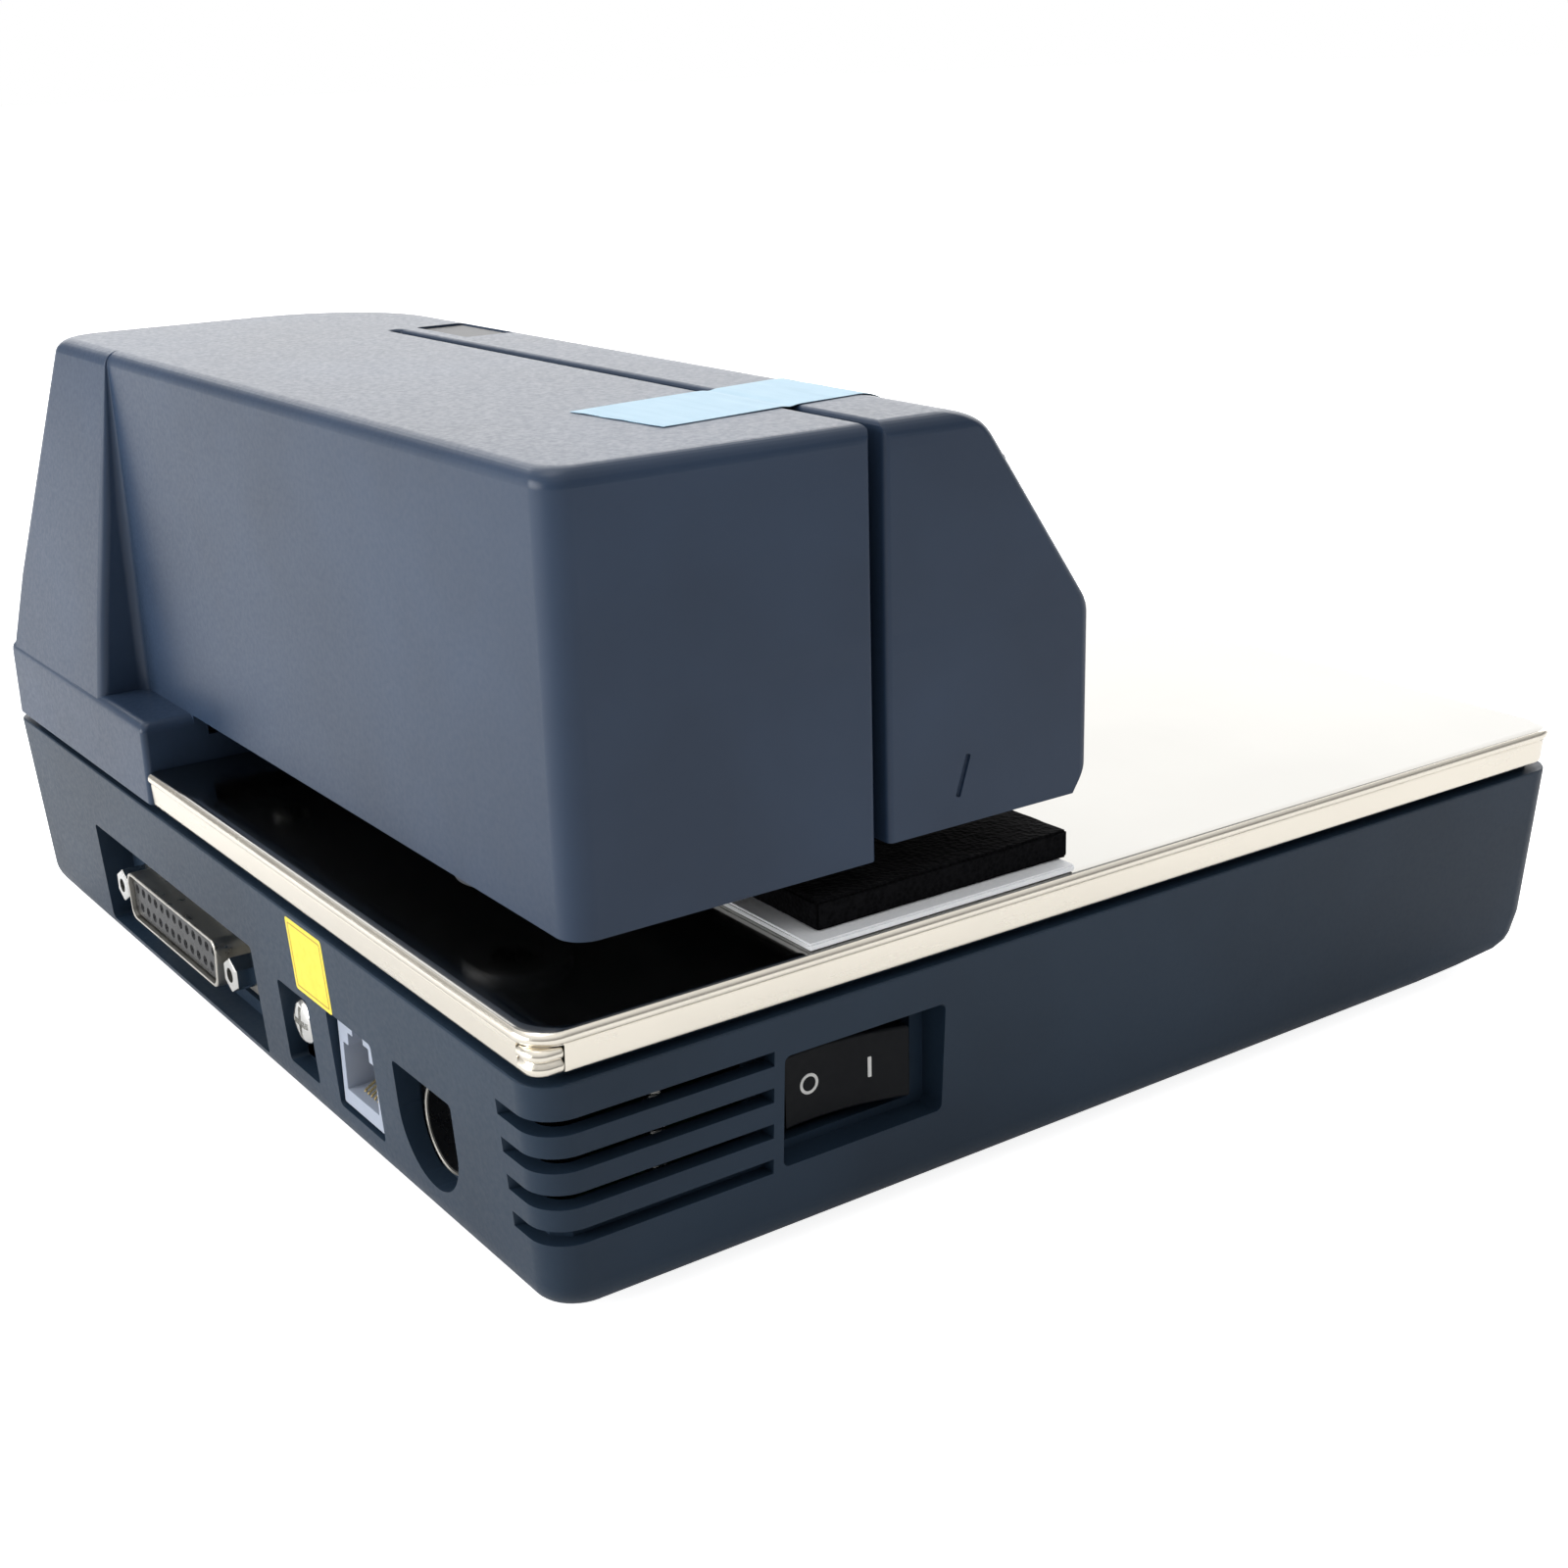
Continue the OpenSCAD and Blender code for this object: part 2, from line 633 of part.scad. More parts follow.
module drawer_jack() {
  color("#dfe3ea") difference() {
    box([rj_x - 6.3, rj_y - 17, rj_z - 6.6], [rj_x + 6.3, rj_y, rj_z + 6.6]);
    box([rj_x - 4.9, rj_y - 12, rj_z - 4.2], [rj_x + 4.9, rj_y + 1, rj_z + 2.8]);
    box([rj_x - 3.2, rj_y - 12, rj_z], [rj_x + 3.2, rj_y + 1, rj_z + 4.7]);
    box([rj_x - 1.6, rj_y - 12, rj_z], [rj_x + 1.6, rj_y + 1, rj_z + 5.6]);
  }
}

module power_jack_housing() {
  color("#121418") difference() {
    box([din_x - 8.6, din_y - 15, din_z - 6.9], [din_x + 8.6, din_y - 0.8, din_z + 7.1]);
    rod_y(din_y - 3, din_y + 1, din_x, din_z, 6.65);
    for (a = [30, 150, 270]) {
      rod_y(din_y - 13, din_y + 1, din_x + 3.1 * cos(a), din_z + 3.1 * sin(a), 1.1);
    }
  }
}

module power_jack_ring() {
  color("#c9c9c6") difference() {
    rod_y(din_y - 3, din_y, din_x, din_z, 6.6);
    rod_y(din_y - 4, din_y + 1, din_x, din_z, 6);
  }
}

module power_jack_pins() {
  color("#d8c98a") for (a = [30, 150, 270]) difference() {
    rod_y(din_y - 12.9, din_y - 3.2, din_x + 3.1 * cos(a), din_z + 3.1 * sin(a), 1.05);
    rod_y(din_y - 11, din_y, din_x + 3.1 * cos(a), din_z + 3.1 * sin(a), 0.7);
  }
}

// ---- power switch ----

module power_switch_frame() {
  color("#0e0f12") difference() {
    union() {
      box([switch_floor_x - 1.4, switch_y - 11.4, switch_z - 6.9],
        [switch_floor_x, switch_y + 11.4, switch_z + 6.9]);
      box([switch_floor_x - 0.1, switch_y - 10.2, switch_z - 6.2],
        [switch_floor_x + 15, switch_y + 10.2, switch_z + 6.2]);
      for (y = [-6, 0, 6]) box([switch_floor_x + 14, switch_y + y - 0.4, switch_z - 2.4],
        [switch_floor_x + 22, switch_y + y + 0.4, switch_z + 2.4]);
    }
    box([-97, switch_y - 9.4, switch_z - 5.4], [switch_floor_x + 9, switch_y + 9.4, switch_z + 5.4]);
    rod_z(switch_z - 6.4, switch_z + 6.4, rocker_pivot_x, switch_y, 1.05);
  }
}

// The rocker, drawn level and then tilted so that its +Y end is pressed in
module power_switch_rocker() {
  color("#0a0b0d") translate([rocker_pivot_x, switch_y, switch_z]) rotate([0, 0, -rocker_tilt]) {
    translate([0, 0, -5]) linear_extrude(10) polygon([
      [-4.1, -8.9], [-3.3, -3], [-3.1, 0], [-3.3, 3], [-4.1, 8.9],
      [-1.2, 8.6], [1.6, 3], [1.6, -3], [-1.2, -8.6]
    ]);
    translate([0, 0, -6.1]) cylinder(r = 1, h = 12.2);
  }
}

// ---- electronics ----

module main_board() {
  color("#1f5b3a") difference() {
    box([-86, 12, pcb_z], [66, 79, pcb_z + pcb_t]);
    for (p = screw_places()) rod_z(0, 20, p[0], p[1], 5);
    for (x = [-72, 56], y = [17, 74]) rod_z(0, 20, x, y, 1.6);
    box([-87, 30, 0], [-70, 58, 10]);
  }
}

module board_components() {
  z = pcb_z + pcb_t;
  color("#23262b") {
    box([-20, 30, z], [4, 54, z + 2.6]);
    box([18, 28, z], [34, 40, z + 2.2]);
    box([18, 46, z], [34, 58, z + 2.2]);
    for (x = [-60, -46]) rod_z(z, z + 14, x, 40, 5);
    rod_z(z, z + 11, -54, 54, 4);
    for (x = [44, 52, 60]) box([x - 2, 44, z], [x + 2, 64, z + 8]);
    box([-40, 18, z], [-4, 23, z + 5]);
  }
}

module dip_switches() {
  color("#b3322c") difference() {
    union() {
      box([30, -30, 9.4], [60, -14, 11]);
      for (y = [-27.5, -21.5]) box([33, y, 6.6], [57, y + 5, 9.5]);
    }
    for (y = [-27.5, -21.5], i = [0 : 7]) {
      box([34.2 + 2.9 * i, y + 1.2, 6], [35.8 + 2.9 * i, y + 3.8, 7.2]);
    }
  }
}

module dip_switch_cover() {
  color("#343c4a") difference() {
    union() {
      box([28.3, -31.7, foot_h + 0.1], [61.7, -12.3, foot_h + 1.7]);
      box([30, -31, foot_h + 1.6], [60, -29.6, foot_h + 3.2]);
    }
    for (i = [0 : 3]) box([40, -26 + i * 2.4, foot_h - 1], [50, -24.9 + i * 2.4, foot_h + 0.6]);
  }
}

// ---- structure ----

module base_chassis() {
  color("#a7abaf") difference() {
    union() {
      box([-84, -78, deck_z], [88, 78, deck_z + 1.2]);
      box([-31, 77.9, deck_z], [-15, 86, deck_z + 1.2]);
      box([-31, 84.7, 8], [-15, 85.9, deck_z + 1.2]);
    }
    rod_y(80, 90, ground_x, ground_z, 2.05);
    box([-60, -60, 20], [10, 10, 40]);
    box([34, -70, 20], [74, -14, 40]);
    box([-97, 29, 20], [-68, 57, 40]);
    for (p = screw_places()) rod_z(20, 40, p[0], p[1], 1.6);
    // holes for the tower bracket
    for (y = [14, 56]) rod_z(20, 40, 80, y, 1.7);
  }
}

module tower_bracket() {
  color("#a7abaf") difference() {
    union() {
      box([70, 8, 29.8], [88, 78, 31.3]);
      box([70, 8, 29.8], [71.5, 78, 66]);
    }
    for (y = [14, 56]) rod_z(20, 40, 80, y, 1.7);
    rod_z(20, 40, 80, 66, 4.4);
    box([60, 30, 40], [75, 56, 56]);
    for (y = [16, 70]) rod_x(60, 80, y, 60, 1.7);
  }
}

// Two end plates and a floor strip that carry the print mechanism in front of the slot
module print_frame() {
  color("#b4b8bc") difference() {
    union() {
      for (x = [-88, 33.6]) along_x(x, x + 1.2) polygon([[8.6, 52.6], [34.6, 51.2], [34.6, 78],
        [13, 78], [8.6, 70]]);
      box([-88, 29.3, 51.2], [34.8, 30.5, 53]);
    }
    for (x = [-88, 33.6]) {
      rod_x(x - 1, x + 3, guide_y, guide_z, guide_r + 0.05);
      rod_x(x - 1, x + 3, pinch_y, nip_z, pinch_shaft_r + 0.05);
    }
    box([30, belt_y - 7, 50], [36, belt_y + 7, belt_z + 3.4]);
    for (x = roller_xs) box([x - 9, 28, 50], [x + 9, 40, 62]);
    box([-85, 31.5, print_z - 8], [-80, 36, print_z + 8]);
  }
}

module feed_frame() {
  color("#b4b8bc") difference() {
    union() {
      for (x = [-88, 33.6]) along_x(x, x + 1.2) polygon([[41.8, 50], [78, 50], [78, 92], [41.8, 92]]);
      box([-88, 60, 49.9], [34.8, 78, 51.1]);
    }
    for (x = [-88, 33.6]) {
      rod_x(x - 1, x + 3, feed_y, nip_z, feed_shaft_r + 0.05);
      rod_x(x - 1, x + 3, 62, 74, 8);
    }
    for (x = [-60.5, 12]) rod_z(40, 60, x, 73.4, 3);
  }
}

// ---- print mechanism ----

module guide_shaft() {
  color("#cfd2d4") rod_x(-88, 34.8, guide_y, guide_z, guide_r);
}

module carriage() {
  x = head_home_x;
  color("#26282d") difference() {
    union() {
      box([x - 11, 8.4, 56.4], [x + 11, 27, 64.8]);
      box([x - 8, 16, 52.6], [x + 8, 18, 57]);
      box([x - 8, 18.9, 52.6], [x + 8, 27, 56.5]);
    }
    rod_x(x - 12, x + 12, guide_y, guide_z, guide_r + 0.05);
    box([x - 12, belt_y - 5.6, 51], [x + 12, belt_y - 3.9, 56.4]);
    box([x - 12, belt_y + 3.6, 51], [x + 12, belt_y + 6, 56.8]);
  }
}

module print_head() {
  x = head_home_x;
  color("#3a3d42") difference() {
    union() {
      box([x - 9.5, 12.5, 64.9], [x + 9.5, 28, 77.5]);
      box([x - 7, 27.9, 64.9], [x + 7, 31, 75]);
      box([x - 2.5, 30.9, print_z - 4], [x + 2.5, 34.5, print_z + 4]);
    }
    // cooling fins
    for (i = [0 : 5]) box([x - 8.2 + i * 3, 11, 66.5], [x - 6.8 + i * 3, 20, 78]);
    // needle guide
    for (i = [0 : 8]) rod_y(33.5, 36, x, print_z - 2.8 + i * 0.7, 0.15);
  }
}

module carriage_motor() {
  color("#9a9ea2") difference() {
    union() {
      rod_z(59.5, 79.4, drive_x, belt_y, 12);
      rod_z(79.3, 81.6, drive_x, belt_y, 4);
      box([drive_x - 12, belt_y - 14.5, 58.3], [drive_x + 12, belt_y + 9.4, 59.6]);
    }
    rod_z(58, 61.8, drive_x, belt_y, 3);
    for (sx = [-1, 1]) rod_z(57, 59.5, drive_x + sx * 9, belt_y - 12, 1.3);
  }
}

module pulley(x) {
  rod_z(belt_z - 3, belt_z - 2.2, x, belt_y, pulley_r + 1.4);
  rod_z(belt_z - 2.3, belt_z + 2.3, x, belt_y, pulley_r - 0.5);
  rod_z(belt_z + 2.2, belt_z + 3, x, belt_y, pulley_r + 1.4);
  // tooth crests
  for (i = [0 : 11]) translate([x, belt_y, belt_z - 2.3]) rotate([0, 0, i * 30])
    translate([pulley_r - 0.8, -0.4, 0]) cube([0.72, 0.8, 4.6]);
}

module drive_pulley() {
  color("#c8b46a") {
    pulley(drive_x);
    rod_z(belt_z + 2.9, 61.7, drive_x, belt_y, 1.5);
  }
}

module idler_pulley() {
  color("#e4e4df") {
    pulley(idler_x);
    rod_z(51.1, belt_z - 2.9, idler_x, belt_y, 1.5);
    rod_z(belt_z + 2.9, 59, idler_x, belt_y, 1.5);
  }
}

module belt_plan(r) {
  translate([idler_x, belt_y]) circle(r = r);
  translate([drive_x, belt_y]) circle(r = r);
  translate([idler_x, belt_y - r]) square([drive_x - idler_x, 2 * r]);
}

module timing_belt() {
  color("#1a1a1a") translate([0, 0, belt_z - 1.9]) linear_extrude(3.8) difference() {
    belt_plan(pulley_r + 0.75);
    belt_plan(pulley_r + 0.05);
  }
}

// Ribbon cassette: a flat box over the head's path, with an arm down at each end
module ribbon_cassette() {
  color("#17191c") difference() {
    union() {
      box([-84, 21.4, 79.8], [32.6, 34.2, 90.6]);
      box([-84, 26.4, 62], [-78.2, 34.2, 80]);
      box([28.2, 26.4, 62], [32.6, 34.2, 80]);
      box([-84, 34.1, 62.4], [-79.4, 34.9, 75.6]);
    }
    rod_z(84, 92, 20, 28, 2.06);
    box([-70, 20, 82], [-50, 21.9, 88]);
  }
}

module ribbon_knob() {
  color("#2f6fb0") {
    rod_z(84.3, 91, 20, 28, 2);
    difference() {
      rod_z(90.9, 94.6, 20, 28, 5.2);
      for (i = [0 : 11]) translate([20, 28, 90]) rotate([0, 0, i * 30]) translate([5.4, 0, 0])
        cylinder(r = 0.6, h = 6, $fn = 24);
    }
  }
}

module ribbon() {
  color("#3b2a6e") box([-78, 35.05, print_z - 6.4], [28, 35.3, print_z + 6.4]);
}

// ---- feed mechanism ----

module platen() {
  color("#3d3f42") {
    box([-81.6, slot_rear + 0.1, print_z - 6.7], [31.6, 45, print_z + 6.7]);
    box([-81.6, 44.9, print_z - 3], [31.6, 47, print_z + 3]);
  }
}

module feed_shaft() {
  color("#cfd2d4") rod_x(-88, gear_x + 4.6, feed_y, nip_z, feed_shaft_r);
}

module feed_rollers() {
  color("#1c1c1e") for (x = roller_xs) difference() {
    rod_x(x - 7.5, x + 7.5, feed_y, nip_z, feed_r);
    rod_x(x - 8, x + 8, feed_y, nip_z, feed_shaft_r);
  }
}

module feed_gear() {
  color("#e8e4d8") translate([gear_x, feed_y, nip_z]) rotate([90, 0, 90]) difference() {
    linear_extrude(4) rotate(pinion_a) gear_2d(gear_teeth, gear_m);
    translate([0, 0, -1]) cylinder(r = feed_shaft_r, h = 6);
  }
}

module feed_pinion() {
  color("#c8b46a") translate([gear_x, pinion_y, pinion_z]) rotate([90, 0, 90]) {
    linear_extrude(4) rotate(pinion_a + 180 + 180 / pinion_teeth) gear_2d(pinion_teeth, gear_m);
    translate([0, 0, 3.9]) cylinder(r = 1.5, h = 3.5);
  }
}

module feed_motor() {
  color("#9a9ea2") difference() {
    union() {
      rod_x(46.6, 68, pinion_y, pinion_z, 12.5);
      box([45.6, pinion_y - 15, pinion_z - 9], [46.8, pinion_y + 15, pinion_z + 9]);
    }
    rod_x(45, 50, pinion_y, pinion_z, 3);
    rod_x(44, 50, feed_y, nip_z, 3.2);
  }
}

module pinch_shaft() {
  color("#cfd2d4") rod_x(-88, 34.8, pinch_y, nip_z, pinch_shaft_r);
}

module pinch_rollers() {
  color("#d9d4c6") for (x = roller_xs) difference() {
    rod_x(x - 7.5, x + 7.5, pinch_y, nip_z, pinch_r);
    rod_x(x - 8, x + 8, pinch_y, nip_z, pinch_shaft_r);
  }
}

// Stopper lever behind the slot: its finger closes the slot above the print line
module form_stopper() {
  color("#b4b8bc") {
    along_x(stop_x - 3, stop_x + 3) polygon([
      [stop_y - 1.5, stop_z - 2], [stop_y + 1.5, stop_z - 2],
      [stop_y + 1.4, stop_z + 13], [slot_y - 0.4, stop_z + 13],
      [slot_y - 0.4, stop_z + 11.4], [stop_y - 1.5, stop_z + 10.6]
    ]);
    rod_x(stop_x - 8, stop_x + 8, stop_y, stop_z, 1.4);
  }
}

module stopper_solenoid() {
  color("#7d8185") difference() {
    union() {
      box([stop_x - 7, stop_y + 10, plunger_z - 6], [stop_x + 7, stop_y + 28, plunger_z + 6]);
      for (sx = [-1, 1]) box([stop_x + sx * 7.3 - 0.7, stop_y - 3, stop_z - 2.4],
        [stop_x + sx * 7.3 + 0.7, stop_y + 12, stop_z + 6]);
    }
    rod_x(stop_x - 9, stop_x + 9, stop_y, stop_z, 1.46);
    rod_y(stop_y + 8, stop_y + 26, stop_x, plunger_z, 2.56);
  }
}

module stopper_plunger() {
  color("#cfd2d4") rod_y(stop_y + 1.9, stop_y + 22, stop_x, plunger_z, 2.5);
}

module form_sensors() {
  color("#101114") {
    box([-86.6, 27, 80.4], [-84.4, 34.6, 87.6]);
    box([-86.4, 41.6, 80.4], [-81, 48, 87.6]);
  }
}

lower_housing();
rubber_feet();
base_screws();
slip_table();
upper_case();
rear_underside_plate();
front_underside_plate();
underside_screws();
ribbon_cover();
indicator_window();
indicator_leds();
key_panel();
forward_key();
reverse_key();
release_key();
key_switches();
caution_label();
shipping_tape();
damper_foam();
damper_sheet();
dsub_shell();
dsub_insert();
dsub_jack_posts();
ground_screw();
drawer_jack();
power_jack_housing();
power_jack_ring();
power_jack_pins();
power_switch_frame();
power_switch_rocker();
main_board();
board_components();
dip_switch_cover();
dip_switches();
base_chassis();
tower_bracket();
print_frame();
feed_frame();
guide_shaft();
carriage();
print_head();
carriage_motor();
drive_pulley();
idler_pulley();
timing_belt();
ribbon_cassette();
ribbon_knob();
ribbon();
platen();
feed_shaft();
feed_rollers();
feed_gear();
feed_motor();
feed_pinion();
pinch_shaft();
pinch_rollers();
form_stopper();
stopper_solenoid();
stopper_plunger();
form_sensors();
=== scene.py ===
"""Looks of the flatbed slip printer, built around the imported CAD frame.

Sizes below are in millimetres in the row frame (+Z up, +Y towards the connectors), and MM turns
them into metres when a mesh is made.
"""

import json
import math
import random

import bmesh
import bpy
from mathutils import Matrix, Vector


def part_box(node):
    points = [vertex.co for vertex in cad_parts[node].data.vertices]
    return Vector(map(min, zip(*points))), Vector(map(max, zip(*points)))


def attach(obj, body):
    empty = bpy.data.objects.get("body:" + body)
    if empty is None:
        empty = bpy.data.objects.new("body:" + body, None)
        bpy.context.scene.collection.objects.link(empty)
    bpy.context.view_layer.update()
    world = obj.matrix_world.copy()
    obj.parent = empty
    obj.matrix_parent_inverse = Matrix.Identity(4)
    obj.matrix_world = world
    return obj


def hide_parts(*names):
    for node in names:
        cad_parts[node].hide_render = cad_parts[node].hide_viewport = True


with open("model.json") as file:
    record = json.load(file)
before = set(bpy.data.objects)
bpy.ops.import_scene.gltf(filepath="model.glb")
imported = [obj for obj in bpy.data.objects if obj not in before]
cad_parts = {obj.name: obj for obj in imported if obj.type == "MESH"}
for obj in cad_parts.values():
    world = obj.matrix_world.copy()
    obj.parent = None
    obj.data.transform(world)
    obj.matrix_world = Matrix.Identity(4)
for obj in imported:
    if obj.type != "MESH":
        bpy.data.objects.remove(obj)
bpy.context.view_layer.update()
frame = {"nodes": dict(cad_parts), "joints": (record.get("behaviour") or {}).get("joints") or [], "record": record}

MM = 0.001
BASE = "printer_base"
NODES = frame["nodes"]


def mm_box(node):
    """Lowest and highest corner of a CAD node, in millimetres."""
    lo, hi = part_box(node)
    return [c / MM for c in lo], [c / MM for c in hi]


# ---- driving sizes, from the frame ----

HOUSING_LO = mm_box("lower_housing")[0]
TABLE_HI = mm_box("slip_table")[1]
CASE_HI = mm_box("upper_case")[1]
COVER_LO, COVER_HI = mm_box("ribbon_cover")

HALF_W = CASE_HI[0]                     # half of the base's width
HALF_D = CASE_HI[1]                     # half of the base's depth
FOOT = HOUSING_LO[2]                    # height of the feet
RIM_Z = 33.4                            # rim of the base housing
SKIRT_Z = RIM_Z + 1                     # lower edge of the upper case and of the table flange
TABLE_Z = TABLE_HI[2]
TABLE_X1 = 25.3                         # where the slip table meets the console
TOP_Z = CASE_HI[2]
ARM_X = -91.0                           # free end of the arm
ARM_REAR = 82.0
ARM_Z = 47.5                            # underside of the arm behind the slot, and top of the console
NOSE_Z = 49.2                           # underside in front of the slot
NOSE_Y = 4.0
SLOPE_Z = 74.4
SLOPE_TOP_Y = 22.3
SLOT_Y0, SLOT_Y1, SLOT_END = 37.1, 39.1, 36.1
STEP_X = 45.3                           # inner side of the tower at the back
LEAN_Z = 46.5                           # the tower leans in above this height
TOWER_TOP_X = 73.3
TOWER_TOP_Y = 82.1
WALL = 2.2
KEY_X, KEY_YS = 62.0, (-62.0, -46.0, -30.0)
SCREW_X, SCREW_YS = 80, (-44, 66)       # the screws that hold the housing and the upper case together
cover_joint = next(j for j in frame["joints"] if j["name"] == "cover_hinge")
HINGE_Y, HINGE_Z = [c / MM for c in cover_joint["pos_m"][1:]]
SLOPE_K = (SLOPE_TOP_Y - NOSE_Y) / (TOP_Z - SLOPE_Z)
SLOT_HALF = (SLOT_Y1 - SLOT_Y0) / 2
SLOT_MID = (SLOT_Y0 + SLOT_Y1) / 2
FAR = 99                                # beyond every side of the base, for cutters that go right through


# ---- mesh helpers ----

def lerp(a, b, t):
    return a + (b - a) * t


def rounded(corners, steps=8):
    """Outline through corners (x, y, radius), each rounded by an arc of steps segments."""
    points = []
    count = len(corners)
    for i, (x, y, r) in enumerate(corners):
        here = Vector((x, y))
        before = (Vector(corners[i - 1][:2]) - here).normalized()
        after = (Vector(corners[(i + 1) % count][:2]) - here).normalized()
        half = math.acos(max(-1, min(1, before.dot(after)))) / 2
        reach = r / math.tan(half)
        start, end = here + before * reach, here + after * reach
        centre = here + (before + after).normalized() * (r / math.sin(half))
        a0 = math.atan2(start.y - centre.y, start.x - centre.x)
        a1 = math.atan2(end.y - centre.y, end.x - centre.x)
        turn = (a1 - a0 + math.pi) % (2 * math.pi) - math.pi
        for k in range(steps + 1):
            a = a0 + turn * k / steps
            points.append((centre.x + r * math.cos(a), centre.y + r * math.sin(a)))
    return points


def rect(x0, x1, y0, y1, r, steps=8):
    return rounded([(x0, y0, r), (x1, y0, r), (x1, y1, r), (x0, y1, r)], steps)


def around(centre, half, r, steps=8):
    """A rounded rectangle about a centre, from its half sizes."""
    (x, y), (hx, hy) = centre, half
    return rect(x - hx, x + hx, y - hy, y + hy, r, steps)


def mesh_object(name, verts, faces, scale=MM):
    """A linked object from points in millimetres, with its faces turned outward."""
    mesh = bpy.data.meshes.new(name)
    mesh.from_pydata([[c * scale for c in v] for v in verts], [], faces)
    bm = bmesh.new()
    bm.from_mesh(mesh)
    bmesh.ops.recalc_face_normals(bm, faces=bm.faces)
    return linked(name, mesh, bm)


def linked(name, mesh, bm):
    """Moves an edited bmesh into the mesh, and the mesh into a new object of the scene."""
    bm.to_mesh(mesh)
    bm.free()
    obj = bpy.data.objects.new(name, mesh)
    bpy.context.scene.collection.objects.link(obj)
    return obj


def loft(name, rings):
    """A closed skin through rings of equal length, with flat ends."""
    n = len(rings[0])
    verts = [p for ring in rings for p in ring]
    faces = []
    for i in range(len(rings) - 1):
        for j in range(n):
            k = (j + 1) % n
            faces.append((i * n + j, i * n + k, (i + 1) * n + k, (i + 1) * n + j))
    faces.append(tuple(range(n)))
    faces.append(tuple((len(rings) - 1) * n + j for j in range(n)))
    return mesh_object(name, verts, faces)


def place(axis, u, v, w):
    """A point whose outline coordinates are (u, v) and whose height along the axis is w."""
    return {"x": (w, u, v), "y": (u, w, v), "z": (u, v, w)}[axis]


def prism(name, axis, outline, w0, w1, edge=0.0, steps=3):
    """An outline pushed along an axis, its two ends rounded over by edge."""
    rings = []
    if edge > 0:
        stops = [(w0, 1, edge * (1 - math.cos(a)), edge * (1 - math.sin(a)))
                 for a in [math.pi / 2 * k / steps for k in range(steps + 1)]]
        stops += [(w1, -1, s[2], s[3]) for s in reversed(stops)]
    else:
        stops = [(w0, 1, 0, 0), (w1, -1, 0, 0)]
    for w, sign, rise, inset in stops:
        ring = []
        for (u, v) in inset_outline(outline, inset):
            ring.append(place(axis, u, v, w + sign * rise))
        rings.append(ring)
    return loft(name, rings)


def inset_outline(outline, d):
    """Each point moved inward by d along the mean normal of its two edges."""
    if d == 0:
        return outline
    n = len(outline)
    area = sum(outline[i][0] * outline[(i + 1) % n][1] - outline[(i + 1) % n][0] * outline[i][1]
               for i in range(n))
    side = 1 if area > 0 else -1
    moved = []
    for i in range(n):
        here = Vector(outline[i])
        a = (here - Vector(outline[i - 1]))
        b = (Vector(outline[(i + 1) % n]) - here)
        if a.length < 1e-9:
            a = b
        if b.length < 1e-9:
            b = a
        a, b = a.normalized(), b.normalized()
        normal = Vector((-(a.y + b.y), a.x + b.x))
        if normal.length < 1e-6:
            normal = Vector((-a.y, a.x))
        normal.normalize()
        cosine = max(0.35, Vector((-a.y, a.x)).dot(normal))
        moved.append(tuple(here + normal * (side * d / cosine)))
    return moved


def brick(name, lo, hi, edge=0.0, steps=2):
    """A box with rounded edges."""
    if edge <= 0:
        outline = [(lo[0], lo[1]), (hi[0], lo[1]), (hi[0], hi[1]), (lo[0], hi[1])]
    else:
        outline = rect(lo[0], hi[0], lo[1], hi[1], edge, 3)
    return prism(name, "z", outline, lo[2], hi[2], edge, steps)


def disc_outline(cx, cy, r, steps=32, squash=1.0):
    return [(cx + r * math.cos(2 * math.pi * i / steps), cy + squash * r * math.sin(2 * math.pi * i / steps))
            for i in range(steps)]


def rod(name, axis, centre, r, w0, w1, edge=0.0, steps=32):
    return prism(name, axis, disc_outline(centre[0], centre[1], r, steps), w0, w1, edge)


def turned(name, axis, centre, profile, steps=40):
    """A round piece about an axis from a profile of (radius, height) points, closed at its ends."""
    rings = []
    for r, w in profile:
        rings.append([place(axis, u, v, w) for u, v in disc_outline(centre[0], centre[1], r, steps)])
    return loft(name, rings)


def apply_modifiers(obj):
    bpy.context.view_layer.update()
    graph = bpy.context.evaluated_depsgraph_get()
    mesh = bpy.data.meshes.new_from_object(obj.evaluated_get(graph))
    old = obj.data
    obj.modifiers.clear()
    obj.data = mesh
    mesh.name = obj.name
    if old.users == 0:
        bpy.data.meshes.remove(old)


def boolean(obj, others, operation):
    """Cuts or joins the other solids, which are used up."""
    for other in others:
        mod = obj.modifiers.new("bool", "BOOLEAN")
        mod.operation = operation
        mod.solver = "EXACT"
        mod.object = other
        apply_modifiers(obj)
        mesh = other.data
        bpy.data.objects.remove(other)
        bpy.data.meshes.remove(mesh)
    return obj


def cut(obj, *others):
    return boolean(obj, others, "DIFFERENCE")


def carve(obj, *boxes):
    """Cuts away plain boxes, each given by its lowest and highest corner."""
    return cut(obj, *[brick("c", lo, hi) for lo, hi in boxes])


def weld(obj, *others):
    return boolean(obj, others, "UNION")


def clean(obj, distance=0.002):
    bm = bmesh.new()
    bm.from_mesh(obj.data)
    bmesh.ops.remove_doubles(bm, verts=bm.verts, dist=distance * MM)
    bmesh.ops.dissolve_degenerate(bm, edges=bm.edges, dist=distance * MM)
    bm.to_mesh(obj.data)
    bm.free()


